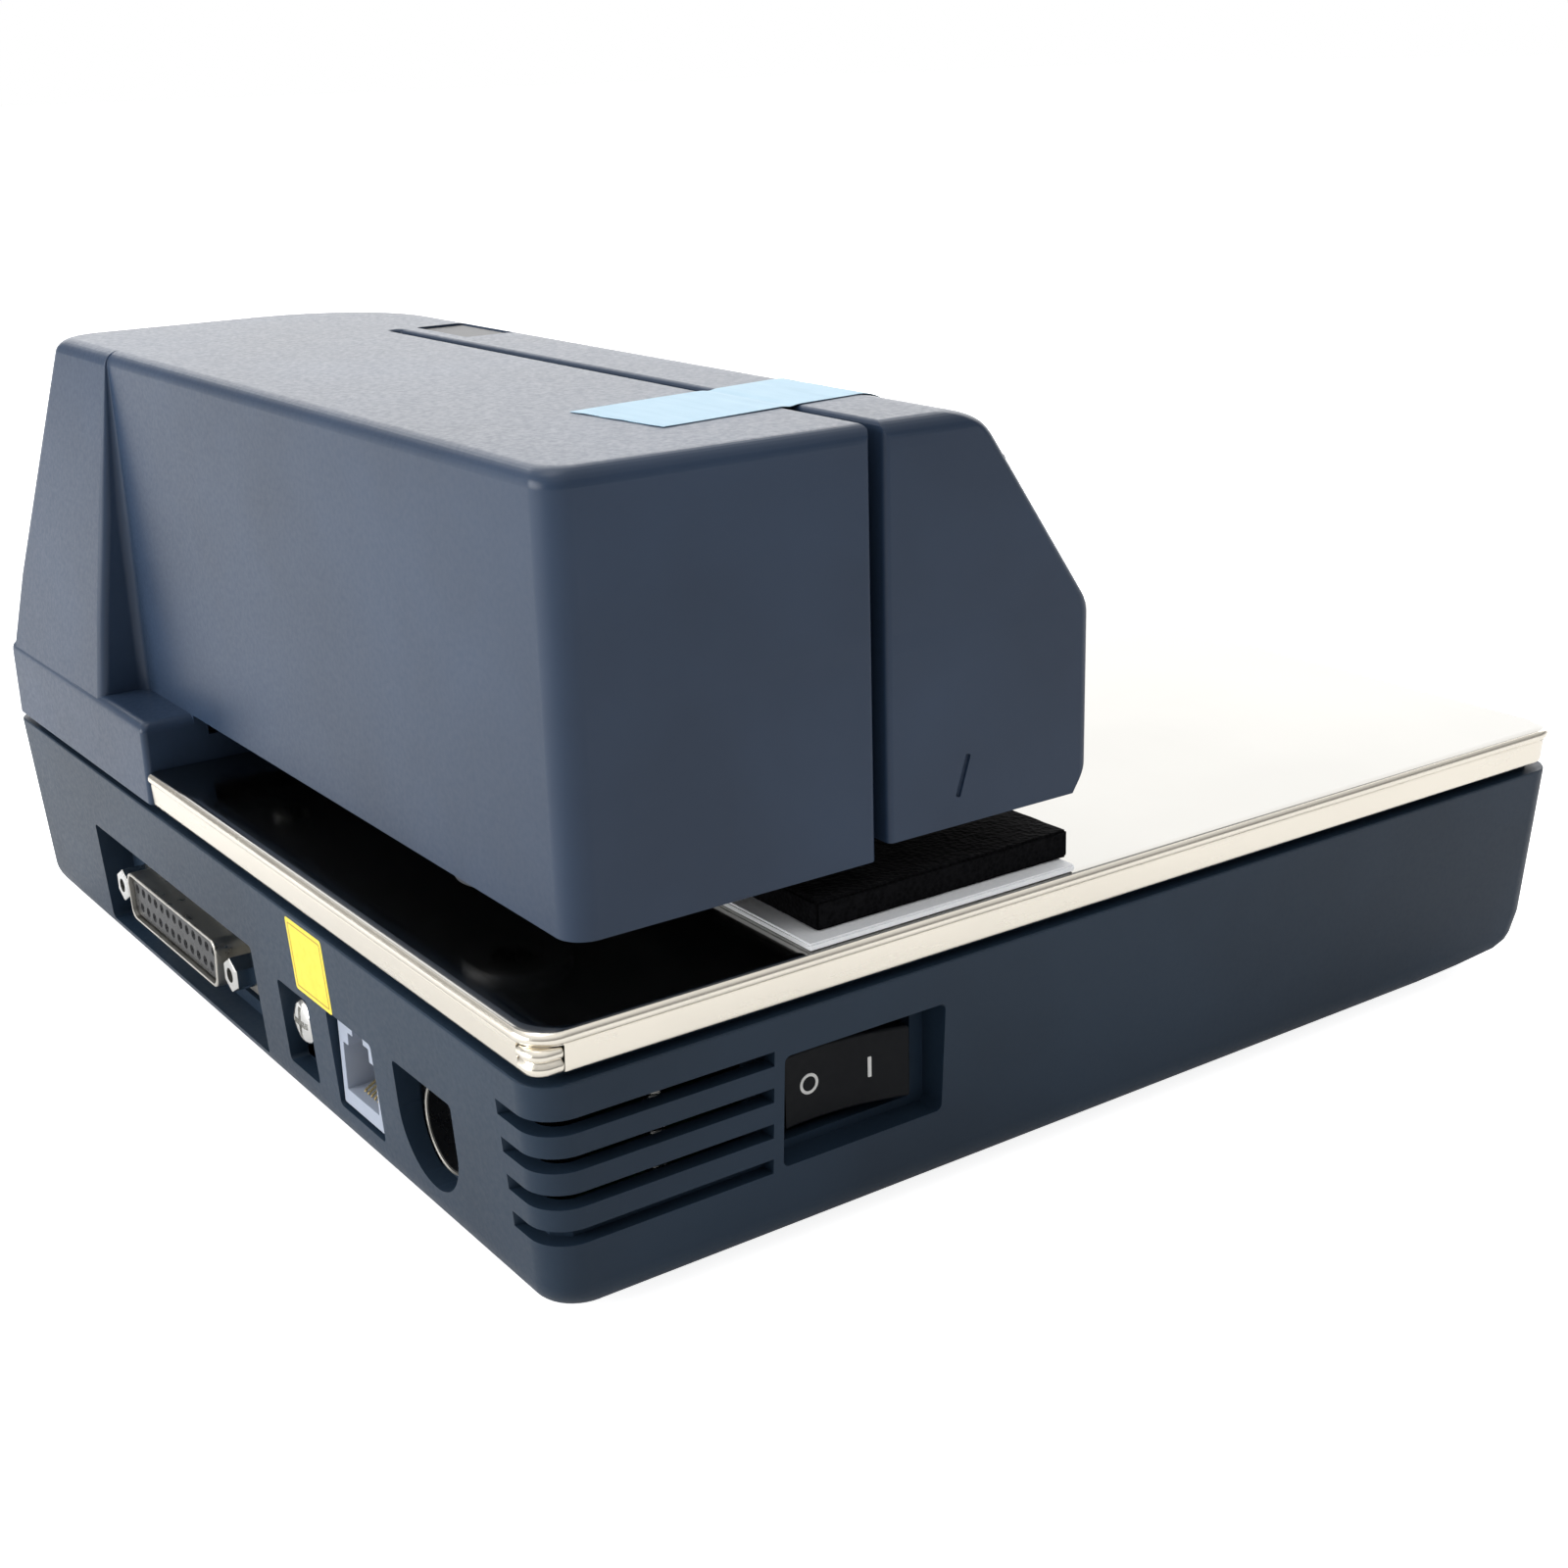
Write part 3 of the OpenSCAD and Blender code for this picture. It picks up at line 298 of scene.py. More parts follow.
def soften(obj, width, segments=2, angle=32):
    """Small rounded edges wherever two faces meet at more than the angle."""
    clean(obj)
    mod = obj.modifiers.new("bevel", "BEVEL")
    mod.width = width * MM
    mod.segments = segments
    mod.limit_method = "ANGLE"
    mod.angle_limit = math.radians(angle)
    mod.use_clamp_overlap = True
    mod.miter_outer = "MITER_ARC"
    mod.harden_normals = False
    apply_modifiers(obj)


def shade(obj, angle=30):
    """Smooth shading with sharp edges above the angle and area-weighted normals."""
    for poly in obj.data.polygons:
        poly.use_smooth = True
    obj.data.set_sharp_from_angle(angle=math.radians(angle))
    mod = obj.modifiers.new("normals", "WEIGHTED_NORMAL")
    mod.keep_sharp = True
    apply_modifiers(obj)
    return obj


def joined(name, pieces):
    """Several separate pieces as one object."""
    bm = bmesh.new()
    for piece in pieces:
        bm.from_mesh(piece.data)
        mesh = piece.data
        bpy.data.objects.remove(piece)
        bpy.data.meshes.remove(mesh)
    return linked(name, bpy.data.meshes.new(name), bm)


def finish_piece(obj, material, body=BASE, replaces=(), angle=30):
    """Shades a piece, gives it its material and its body, and hides the CAD nodes that it replaces."""
    shade(obj, angle)
    obj.data.materials.clear()
    obj.data.materials.append(material)
    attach(obj, body)
    if replaces:
        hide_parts(*replaces)
    return obj


# ---- materials ----

def new_material(name):
    mat = bpy.data.materials.new(name)
    mat.use_nodes = True
    tree = mat.node_tree
    return mat, tree, tree.nodes["Principled BSDF"]


def set_inputs(node, **values):
    """Sets a node's inputs by name, each space written as an underscore."""
    for name, value in values.items():
        node.inputs[name.replace("_", " ")].default_value = value


def on_object(tree, kind, **values):
    """A texture node that reads object coordinates."""
    node = tree.nodes.new(kind)
    coords = tree.nodes.new("ShaderNodeTexCoord")
    tree.links.new(coords.outputs["Object"], node.inputs["Vector"])
    set_inputs(node, **values)
    return node


def noise_node(tree, scale, detail=2.0, roughness=0.5, stretch=(1, 1, 1)):
    """Noise in object space; scale is in features per metre."""
    mapping = on_object(tree, "ShaderNodeMapping", Scale=stretch)
    noise = tree.nodes.new("ShaderNodeTexNoise")
    set_inputs(noise, Scale=scale, Detail=detail, Roughness=roughness)
    tree.links.new(mapping.outputs["Vector"], noise.inputs["Vector"])
    return noise.outputs["Fac"]


def ramp_node(tree, source, stops):
    ramp = tree.nodes.new("ShaderNodeValToRGB")
    elements = ramp.color_ramp.elements
    while len(elements) < len(stops):
        elements.new(0.5)
    for element, (place_at, colour) in zip(elements, stops):
        element.position = place_at
        element.color = (*colour, 1) if len(colour) == 3 else colour
    tree.links.new(source, ramp.inputs["Fac"])
    return ramp.outputs["Color"]


def range_node(tree, source, low, high, from_low=0.3, from_high=0.7):
    node = tree.nodes.new("ShaderNodeMapRange")
    set_inputs(node, From_Min=from_low, From_Max=from_high, To_Min=low, To_Max=high)
    tree.links.new(source, node.inputs["Value"])
    return node.outputs["Result"]


def bump_node(tree, shader, source, strength, depth):
    bump = tree.nodes.new("ShaderNodeBump")
    set_inputs(bump, Strength=strength, Distance=depth * MM)
    tree.links.new(source, bump.inputs["Height"])
    tree.links.new(bump.outputs["Normal"], shader.inputs["Normal"])


def plastic(name, colour, rough=0.45, grain=1400, depth=0.03, variation=0.12, specular=0.5,
            strength=0.25):
    """Moulded plastic: a fine spark texture, and slow changes of tone and gloss."""
    mat, tree, shader = new_material(name)
    slow = noise_node(tree, 28, 3)
    dark = tuple(c * (1 - variation) for c in colour)
    light = tuple(min(1, c * (1 + variation)) for c in colour)
    tree.links.new(ramp_node(tree, slow, [(0.35, dark), (0.65, light)]), shader.inputs["Base Color"])
    fine = noise_node(tree, grain, 2)
    tree.links.new(range_node(tree, fine, rough - 0.04, rough + 0.05), shader.inputs["Roughness"])
    set_inputs(shader, Specular_IOR_Level=specular)
    bump_node(tree, shader, fine, strength, depth)
    return mat


def metal(name, colour, rough=0.2, stretch=(1, 1, 1), grain=600, depth=0.004, spread=0.06,
          strength=0.15):
    """Metal with fine scuffs, drawn out along one direction by stretch."""
    mat, tree, shader = new_material(name)
    set_inputs(shader, Metallic=1)
    slow = noise_node(tree, 22, 3)
    dark = tuple(c * 0.93 for c in colour)
    tree.links.new(ramp_node(tree, slow, [(0.3, dark), (0.7, colour)]), shader.inputs["Base Color"])
    fine = noise_node(tree, grain, 4, 0.6, stretch)
    tree.links.new(range_node(tree, fine, rough - spread / 2, rough + spread), shader.inputs["Roughness"])
    bump_node(tree, shader, fine, strength, depth)
    return mat


def toned(tree, shader, source, stops, **values):
    """Colours a surface by a ramp over source, and sets its other inputs."""
    tree.links.new(ramp_node(tree, source, stops), shader.inputs["Base Color"])
    set_inputs(shader, **values)


def foam_material():
    mat, tree, shader = new_material("open_cell_foam")
    cells = on_object(tree, "ShaderNodeTexVoronoi", Scale=1500).outputs["Distance"]
    toned(tree, shader, cells, [(0.1, (0.001, 0.001, 0.0015)), (0.8, (0.005, 0.005, 0.006))],
          Roughness=0.95, Specular_IOR_Level=0.08)
    bump_node(tree, shader, cells, 0.8, 0.25)
    return mat


def sheet_material():
    mat, tree, shader = new_material("foam_sheet")
    cells = noise_node(tree, 900, 3)
    toned(tree, shader, cells, [(0.3, (0.90, 0.92, 0.95)), (0.7, (0.96, 0.97, 0.99))],
          Roughness=0.55, Subsurface_Weight=0.15, Subsurface_Radius=(0.002, 0.002, 0.002))
    bump_node(tree, shader, cells, 0.4, 0.08)
    return mat


def tape_material():
    mat, tree, shader = new_material("tape_film")
    streaks = noise_node(tree, 90, 3, 0.5, (1, 6, 1))
    toned(tree, shader, streaks, [(0.3, (0.34, 0.53, 0.66)), (0.7, (0.40, 0.59, 0.72))],
          Roughness=0.45, Specular_IOR_Level=0.2, Alpha=0.95)
    bump_node(tree, shader, noise_node(tree, 160, 2), 0.35, 0.12)
    return mat


def label_material():
    mat, tree, shader = new_material("label_stock")
    fibre = noise_node(tree, 700, 3)
    toned(tree, shader, fibre, [(0.3, (0.86, 0.66, 0.03)), (0.7, (0.93, 0.75, 0.06))], Roughness=0.42)
    bump_node(tree, shader, fibre, 0.2, 0.02)
    return mat


def board_material():
    mat, tree, shader = new_material("circuit_board")
    tracks = on_object(tree, "ShaderNodeTexBrick", Scale=260, Color1=(0.02, 0.13, 0.05, 1),
                       Color2=(0.025, 0.16, 0.065, 1), Mortar=(0.05, 0.24, 0.1, 1), Mortar_Size=0.012)
    tree.links.new(tracks.outputs["Color"], shader.inputs["Base Color"])
    set_inputs(shader, Roughness=0.3)
    bump_node(tree, shader, tracks.outputs["Fac"], 0.3, 0.03)
    return mat


def ribbon_material():
    mat, tree, shader = new_material("inked_ribbon")
    weave = on_object(tree, "ShaderNodeTexWave", Scale=900)
    weave.bands_direction = "Z"
    toned(tree, shader, weave.outputs["Fac"], [(0.2, (0.008, 0.004, 0.02)), (0.8, (0.03, 0.016, 0.06))],
          Roughness=0.8, Sheen_Weight=0.3)
    bump_node(tree, shader, weave.outputs["Fac"], 0.4, 0.05)
    return mat


def window_material():
    mat, tree, shader = new_material("smoked_window")
    toned(tree, shader, noise_node(tree, 60, 2), [(0.3, (0.008, 0.009, 0.012)), (0.7, (0.014, 0.016, 0.02))],
          Roughness=0.35, Specular_IOR_Level=0.15, Alpha=0.9)
    return mat


CASE = plastic("case_blue_grey", (0.025, 0.044, 0.082), 0.36, depth=0.01, specular=0.3, strength=0.07)
HOUSING = plastic("base_blue_grey", (0.017, 0.032, 0.055), 0.40, depth=0.01, specular=0.2, strength=0.07)
DARK = plastic("dark_plastic", (0.016, 0.019, 0.026), 0.5)
KEY = plastic("key_plastic", (0.13, 0.15, 0.19), 0.45)
BLACK = plastic("black_gloss_plastic", (0.007, 0.008, 0.010), 0.28, 900, 0.015)
SWITCH = plastic("switch_black", (0.005, 0.006, 0.008), 0.5, 900, 0.01, specular=0.15)
PRINT_WHITE = plastic("printed_white", (0.78, 0.78, 0.76), 0.5, 1200, 0.01, 0.05)
PORT = plastic("port_plastic", (0.34, 0.38, 0.46), 0.45, 1000, 0.02, 0.06, specular=0.2)
NYLON = plastic("natural_nylon", (0.72, 0.70, 0.62), 0.4, 700, 0.02, 0.05)
KNOB = plastic("blue_knob", (0.03, 0.13, 0.40), 0.4)
RED = plastic("red_switch", (0.42, 0.03, 0.02), 0.35)
PARTS = plastic("board_parts", (0.012, 0.013, 0.015), 0.4, 900)
LED = plastic("diffused_lens", (0.36, 0.46, 0.26), 0.3, 500, 0.01, 0.15)
RUBBER = plastic("rubber", (0.012, 0.012, 0.013), 0.85, 700, 0.08, 0.2, 0.3, 0.6)
PALE_RUBBER = plastic("pale_rubber", (0.46, 0.44, 0.39), 0.8, 700, 0.06, 0.08, 0.3, 0.5)
TABLE = metal("polished_stainless", (0.32, 0.312, 0.292), 0.12, (1, 30, 1), 45, 0.002, 0.05, 0.10)
# The flange is the same steel as the table; its much lighter, warmer colour is a painted bright reflection.
FLANGE_PAINTED_REFLECTION = metal("flange_steel_painted_reflection", (0.94, 0.88, 0.77), 0.24, (1, 1, 8), 60, 0.002, 0.05, 0.1)
NICKEL = metal("bright_nickel", (0.80, 0.80, 0.78), 0.16, (1, 1, 1), 500)
TIN = metal("tin_plate", (0.62, 0.60, 0.55), 0.3, (1, 1, 1), 400, 0.006, 0.1)
ZINC = metal("zinc_sheet", (0.56, 0.57, 0.58), 0.36, (1, 1, 1), 120, 0.01, 0.16)
STEEL = metal("ground_steel", (0.66, 0.66, 0.67), 0.18, (40, 1, 1), 60)
MOTOR = metal("motor_can", (0.40, 0.41, 0.43), 0.34, (1, 1, 12), 90)
BRASS = metal("plated_brass", (0.80, 0.62, 0.30), 0.25)
FOAM = foam_material()
SHEET = sheet_material()
TAPE = tape_material()
LABEL = label_material()
BOARD = board_material()
RIBBON = ribbon_material()
WINDOW = window_material()
LABEL_INK = plastic("label_ink", (0.45, 0.30, 0.02), 0.45, 1200, 0.01, 0.05)

SLOT_MATERIALS = {
    "case_plastic": CASE, "base_plastic": HOUSING, "inner_plastic": DARK, "key_plastic": KEY,
    "table_steel": TABLE, "screw_steel": NICKEL, "foot_rubber": RUBBER, "smoked_window": WINDOW,
    "led_parts": LED, "switch_board": BOARD, "board_parts": PARTS, "label_paper": LABEL,
    "tape_film": TAPE, "damper_foam": FOAM, "damper_sheet": SHEET, "connector_metal": TIN,
    "connector_plastic": BLACK, "port_plastic": PORT, "contact_brass": BRASS,
    "switch_plastic": SWITCH, "option_switch_red": RED, "zinc_sheet": ZINC, "shaft_steel": STEEL,
    "motor_steel": MOTOR, "nylon": NYLON, "belt_rubber": RUBBER, "knob_plastic": KNOB,
    "ribbon_fabric": RIBBON, "platen_rubber": RUBBER, "pinch_rubber": PALE_RUBBER,
}


def dress_cad_nodes():
    """Every CAD node takes the material of its slot; those that are replaced are hidden later."""
    slot_of = {s["node"]: s["material_slot"] for s in frame["record"]["subparts"]}
    for name, obj in NODES.items():
        material = SLOT_MATERIALS[slot_of[name]]
        if not obj.data.materials:
            obj.data.materials.append(material)
        for i in range(len(obj.data.materials)):
            obj.data.materials[i] = material


# ---- camera, light and floor ----

CAMERA_AT = (-0.288976, 0.189403, 0.142087)     # metres
CAMERA_TURN = (-34.647, -18.746, -1.680)        # azimuth, elevation and roll, degrees


def add_camera():
    data = bpy.data.cameras.new("view")
    cam = bpy.data.objects.new("view", data)
    bpy.context.scene.collection.objects.link(cam)
    azimuth, elevation, roll = (math.radians(a) for a in CAMERA_TURN)
    forward = Vector((math.cos(elevation) * math.cos(azimuth),
                      math.cos(elevation) * math.sin(azimuth), math.sin(elevation)))
    right = forward.cross(Vector((0, 0, 1))).normalized()
    up = right.cross(forward)
    side = right * math.cos(roll) + up * math.sin(roll)
    top = up * math.cos(roll) - right * math.sin(roll)
    rows = [(side[i], top[i], -forward[i], CAMERA_AT[i]) for i in range(3)]
    cam.matrix_world = Matrix((*rows, (0, 0, 0, 1)))
    data.sensor_width = 36
    data.lens = 49.81
    data.clip_start = 0.01
    bpy.context.scene.camera = cam


def add_area(name, where, aim, size, power):
    data = bpy.data.lights.new(name, "AREA")
    data.shape = "RECTANGLE"
    data.size, data.size_y = size
    data.energy = power
    lamp = bpy.data.objects.new(name, data)
    bpy.context.scene.collection.objects.link(lamp)
    lamp.location = where
    direction = Vector(aim) - Vector(where)
    lamp.rotation_euler = direction.to_track_quat("-Z", "Y").to_euler()


def add_world():
    """White to the camera; to everything else a sky that brightens with height."""
    world = bpy.data.worlds.new("studio")
    world.use_nodes = True
    tree = world.node_tree
    white = (1.0, 1.0, 1.0, 1)
    sky = tree.nodes["Background"]
    set_inputs(sky, Color=white)
    coords = tree.nodes.new("ShaderNodeTexCoord")
    split = tree.nodes.new("ShaderNodeSeparateXYZ")
    tree.links.new(coords.outputs["Generated"], split.inputs["Vector"])
    tree.links.new(range_node(tree, split.outputs["Z"], 0.24, 0.95, 0.25, 0.9), sky.inputs["Strength"])
    bright = tree.nodes.new("ShaderNodeBackground")
    set_inputs(bright, Color=white, Strength=1.0)
    path = tree.nodes.new("ShaderNodeLightPath")
    mix = tree.nodes.new("ShaderNodeMixShader")
    tree.links.new(path.outputs["Is Camera Ray"], mix.inputs["Fac"])
    tree.links.new(sky.outputs[0], mix.inputs[1])
    tree.links.new(bright.outputs[0], mix.inputs[2])
    tree.links.new(mix.outputs[0], tree.nodes["World Output"].inputs["Surface"])
    bpy.context.scene.world = world
    bpy.context.scene.view_settings.view_transform = "Standard"


def add_floor():
    floor = mesh_object("floor", [(-9, -9, 0), (9, -9, 0), (9, 9, 0), (-9, 9, 0)], [(0, 1, 2, 3)], 1)
    mat, tree, shader = new_material("pale_floor")
    toned(tree, shader, noise_node(tree, 3, 2), [(0.3, (0.80, 0.80, 0.80)), (0.7, (0.84, 0.84, 0.84))],
          Roughness=0.8, Specular_IOR_Level=0.1, Emission_Color=(1, 1, 1, 1))
    sight = tree.nodes.new("ShaderNodeLightPath")
    glow = range_node(tree, sight.outputs["Is Camera Ray"], 0.1, 0.85)
    tree.links.new(glow, shader.inputs["Emission Strength"])
    floor.data.materials.append(mat)


def add_lights():
    add_area("rear_softbox", (0.55, 1.6, 0.50), (0, 0.05, 0.06), (1.5, 0.8), 26)
    add_area("far_softbox", (1.7, -1.5, 0.95), (0, 0, 0.09), (4.6, 2.4), 70)
    add_area("overhead_softbox", (0.4, 0.1, 1.7), (0, 0, 0.05), (0.8, 0.8), 4)


# ---- base housing ----

def housing_profile():
    """(height, inset of the sides and rear, front edge) of the base's levels, bottom first."""
    def drafted(z):
        return 1.7 * (RIM_Z - z) / (RIM_Z - FOOT - 5)

    levels = []
    corner = 4.2
    for k in range(8):
        a = math.pi / 2 * k / 7
        z = FOOT + corner * (1 - math.cos(a))
        inset = drafted(max(z, FOOT + 3)) + corner * (1 - math.sin(a)) * 0.9
        levels.append([z, inset])
    levels += [[z, drafted(z)] for z in (9.5, 14, 20, 27, 32.9)]
    levels += [[RIM_Z - 0.15, 0.05], [RIM_Z, 0.25]]
    return [(z, inset, front_edge(z)) for z, inset in levels]


def front_edge(z):
    """The underside rises towards the front, so the low levels start further back."""
    rise = z - FOOT
    back = 1.8 * (RIM_Z - z) / (RIM_Z - FOOT)
    if rise < 7:
        t = 1 - rise / 7
        back += 4.6 * t ** 1.6 + 28 * max(0.0, 1 - rise / 2.6) ** 1.35
    return -HALF_D + back


def at_height(z, outline):
    return [(x, y, z) for x, y in outline]


def housing_ring(z, inset, front, grow=0.0):
    """Outline of the base at one height; grow moves it inward, for the hollow."""
    i = inset + grow
    r = max(1.2, 5 - grow * 0.8)
    return at_height(z, rounded([(-HALF_W + i, front + grow, r), (HALF_W - i, front + grow, r),
                                 (HALF_W - i, HALF_D - i, r), (-HALF_W + i, HALF_D - i, r)], 10))


def housing_cavity(levels):
    """The hollow of the base, which leaves solid blocks behind the rear recesses and the switch."""
    rings = [housing_ring(z + 2.2 if k == 0 else max(z, FOOT + 2.3 + 0.05 * k), inset, front, 2.4)
             for k, (z, inset, front) in enumerate(levels)]
    rings.append([(x, y, RIM_Z + 2) for x, y, _ in rings[-1]])
    return carve(loft("cavity", rings), ((-11, 81.5, 0), (60.5, 95, 24.8)),
                 ((-73.4, 81.5, 0), (-53.6, 95, 24.8)), ((-50.5, 84.5, 0), (-16.4, 95, 24.2)),
                 ((-97, 29.3, 9.8), (-88.2, 58.5, 30)))


def build_housing():
    levels = housing_profile()
    body = loft("base_housing", [housing_ring(*level) for level in levels])
    cut(body, housing_cavity(levels))
    weld(body, seam_tongue())
    # recesses of the connectors, the ground screw, the two jacks and the switch
    power_recess = rounded([(-71.6, 22.4, 0.7), (-71.6, 15.6, 0.05), (-71.6, 7.5, 8.05),
                            (-55.4, 7.5, 8.05), (-55.4, 15.6, 0.05), (-55.4, 22.4, 0.7)], 12)
    cut(body,
        prism("c", "y", rect(-9, 58.5, 5.2, 22.4, 0.8), 84, 96),
        prism("c", "y", rect(25.5 - 27.2, 25.5 + 27.2, 7.3, 20.9, 0.5), 78, 85),
        prism("c", "y", rect(-28.1, -17.9, 7.8, 20.6, 0.7), 85.9, 96),
        rod("c", "y", (-23, 14.8), 2.3, 76, 90),
        prism("c", "y", rect(-48.9, -34.9, 7.5, 21.9, 0.7), 86.6, 96),
        prism("c", "y", rect(-48.3, -35.5, 8.1, 21.5, 0.3), 76, 90),
        prism("c", "y", power_recess, 85.5, 96),
        prism("c", "y", rect(-72.2, -54.8, 8.1, 22.3, 0.4), 78, 86),
        prism("c", "x", rect(31.5, 56.3, 12.4, 27.7, 0.9), -98, -90),
        prism("c", "x", rect(33.6, 54.4, 13.6, 26.5, 0.5), -98, -80))
    for i in range(4):
        cut(body, vent_cutter(13.1 + 4.93 * i))
    counterbore = [(3.3, -1), (3.3, 3.4), (3.1, 3.6), (3.1, 5.6), (1.6, 5.7), (1.6, 9)]
    for x in (-SCREW_X, SCREW_X):
        for y in SCREW_YS:
            cut(body, turned("c", "z", (x, y), counterbore))
    cut(body, prism("c", "z", rect(28, 62, -32, -12, 1.2), -1, 9))
    soften(body, 0.28, 2)
    return finish_piece(body, HOUSING, replaces=["lower_housing"])


def seam_tongue():
    """The lip inside the seam, on which the upper case sits."""
    outer = rect(-HALF_W + 2.5, HALF_W - 2.5, -HALF_D + 2.5, HALF_D - 2.5, 3, 6)
    inner = rect(-HALF_W + 3.8, HALF_W - 3.8, -HALF_D + 3.8, HALF_D - 3.8, 2, 6)
    tongue = prism("tongue", "z", outer, RIM_Z - 4, SKIRT_Z + 1.4)
    cut(tongue, prism("c", "z", inner, RIM_Z - 6, SKIRT_Z + 3))
    return carve(tongue, ((TABLE_X1 - 0.1, -FAR, RIM_Z - 6), (TABLE_X1 + 2.9, FAR, SKIRT_Z + 3)))


def vent_cutter(z):
    """A slot that wraps the rear corner: along the side wall, round the corner and along the rear."""
    side_y, rear_x, depth = 57.8, -85.0, 3.6
    x_out, y_out = -HALF_W - 1.5, HALF_D + 1.5
    x_in, y_in = -HALF_W + depth, HALF_D - depth
    plan = [(x_out, side_y), (x_in, side_y), (x_in, y_in - 2), (x_in + 2, y_in), (rear_x - 1.0, y_in),
            (rear_x + 0.7, y_out), (x_out, y_out)]
    return prism("vent", "z", plan, z - 1.0, z + 1.0)


# ---- slip table ----

# (height, inset) up the flange: a strip leaning in, a groove, and a proud bead that rolls into the top
FLANGE_LEVELS = [
    (SKIRT_Z + 0.2, 0.75), (SKIRT_Z + 0.35, 0.58), (SKIRT_Z + 0.7, 0.52), (37.95, 0.36), (38.1, 0.44),
    (38.22, 0.42), (38.36, 0.22), (38.55, 0.08), (38.85, 0.0), (39.2, 0.04), (39.5, 0.2), (39.75, 0.5),
    (39.92, 0.95), (TABLE_Z, 1.6)]


def table_ring(z, inset, r=4.6):
    return at_height(z, rounded([(-HALF_W + inset, -HALF_D + inset, r), (TABLE_X1, -HALF_D + inset, 0.05),
                                 (TABLE_X1, HALF_D - inset, 0.05), (-HALF_W + inset, HALF_D - inset, r)], 10))


def build_table():
    table = loft("slip_table_sheet", [table_ring(*level) for level in FLANGE_LEVELS])
    cut(table, loft("inner", [table_ring(SKIRT_Z - 1, 1.2, 3.6), table_ring(TABLE_Z - 1.6, 1.2, 3.6),
                              table_ring(TABLE_Z - 1.0, 1.8, 3.6)]))
    carve(table, ((TABLE_X1 - 0.05, -FAR, 30), (TABLE_X1 + 2, FAR, TABLE_Z - 1.0)))
    # relief for the separate piece at the rear corner, under the bead
    carve(table, ((-HALF_W - 1, HALF_D - 4.4, SKIRT_Z - 1), (-HALF_W + 4.4, HALF_D + 1, 38.12)))
    finish_piece(table, TABLE, replaces=["slip_table"], angle=40)
    # the flange's side faces take the lighter, warmer copy of the table steel, whose colour holds a painted
    # reflection
    table.data.materials.append(FLANGE_PAINTED_REFLECTION)
    for poly in table.data.polygons:
        if poly.center.z < 39.95 * MM and abs(poly.normal.z) < 0.9:
            poly.material_index = 1


def build_corner_piece():
    """The separate rear corner of the flange, pinched in twice."""
    stack = [(34.75, 0.9), (34.95, 0.35), (35.5, 0.12), (36.0, 0.2), (36.3, 0.6), (36.5, 0.65), (36.8, 0.25),
             (37.2, 0.12), (37.65, 0.3), (37.9, 0.7), (38.1, 1.0)]
    rings = []
    for z, inset in stack:
        x0, y1 = -HALF_W + inset, HALF_D - inset
        corners = [(x0, y1, 2.6 - inset), (-HALF_W + 4.25, y1, 0.3), (-HALF_W + 4.25, HALF_D - 1.8, 0.2),
                   (-HALF_W + 1.9, HALF_D - 4.2, 0.2), (x0, HALF_D - 4.2, 0.3)]
        rings.append(at_height(z, rounded(corners, 6)))
    # the corner uses the flange's steel, whose lighter, warmer colour is a painted reflection
    finish_piece(loft("flange_corner_rear", rings), FLANGE_PAINTED_REFLECTION, angle=50)


# ---- upper case ----

def arc_points(corner, a, b, r, steps):
    return rounded([(*a, 0.001), (*corner, r), (*b, 0.001)], steps)[steps + 1:2 * steps + 2]


def front_profile():
    """(y, z) of the arm's front from bottom to top: nose, slope, and the rounded edge to the top."""
    nose = arc_points((NOSE_Y, SLOPE_Z), (NOSE_Y, 40), (SLOPE_TOP_Y, TOP_Z), 5.0, 6)
    crown = arc_points((SLOPE_TOP_Y, TOP_Z), (NOSE_Y, SLOPE_Z), (60, TOP_Z), 8.5, 12)
    return [(NOSE_Y, 40.0)] + nose + crown


def front_y(z, profile):
    for (y0, z0), (y1, z1) in zip(profile, profile[1:]):
        if z <= z1 or (y1, z1) == profile[-1]:
            return y0 if z1 == z0 else lerp(y0, y1, max(0, min(1, (z - z0) / (z1 - z0))))
    return profile[-1][0]


def case_levels():
    profile = front_profile()
    edge = 2.2
    heights = {z for _, z in profile[1:-1]} | {44.0, 60.0, 88.0}
    heights |= {TOP_Z - edge + edge * math.sin(math.pi / 2 * k / 7) for k in range(8)}
    out = []
    last = -1
    for z in sorted(heights):
        if z - last < 0.012 and z < TOP_Z:
            continue
        last = z
        drop = max(0.0, z - (TOP_Z - edge))
        out.append((z, edge - math.sqrt(max(0.0, edge * edge - drop * drop)), front_y(z, profile)))
    return out


def case_ring(z, inset, front, t=0.0):
    """Outline of the arm and tower at one height, inset by the rounded top edge and by t."""
    lean = max(0.0, (z - LEAN_Z) / (TOP_Z - LEAN_Z))
    side = lerp(HALF_W, TOWER_TOP_X, lean) - inset - t
    back = lerp(HALF_D, TOWER_TOP_Y, lean) - inset - t
    rear = ARM_REAR - inset - t
    left = ARM_X + inset + t
    step = max(0.02, back - rear)
    front = front + t * (1.2 if z > SLOPE_Z else 1) + inset * 0.3
    big = lerp(8.0, 20.0, max(0.0, min(1.0, (z - 60) / 41)))
    corners = [
        (left, rear, 3.6 - t), (left, front, 2.0 - t * 0.6),
        (side, front, max(2.0, big - t)), (side, back, lerp(4.8, 6.0, lean) - t * 0.8),
        (STEP_X + t, back, min(1.6, step * 0.45)), (STEP_X + t, rear, min(1.6, step * 0.45))]
    return at_height(z, rounded(corners, 10))


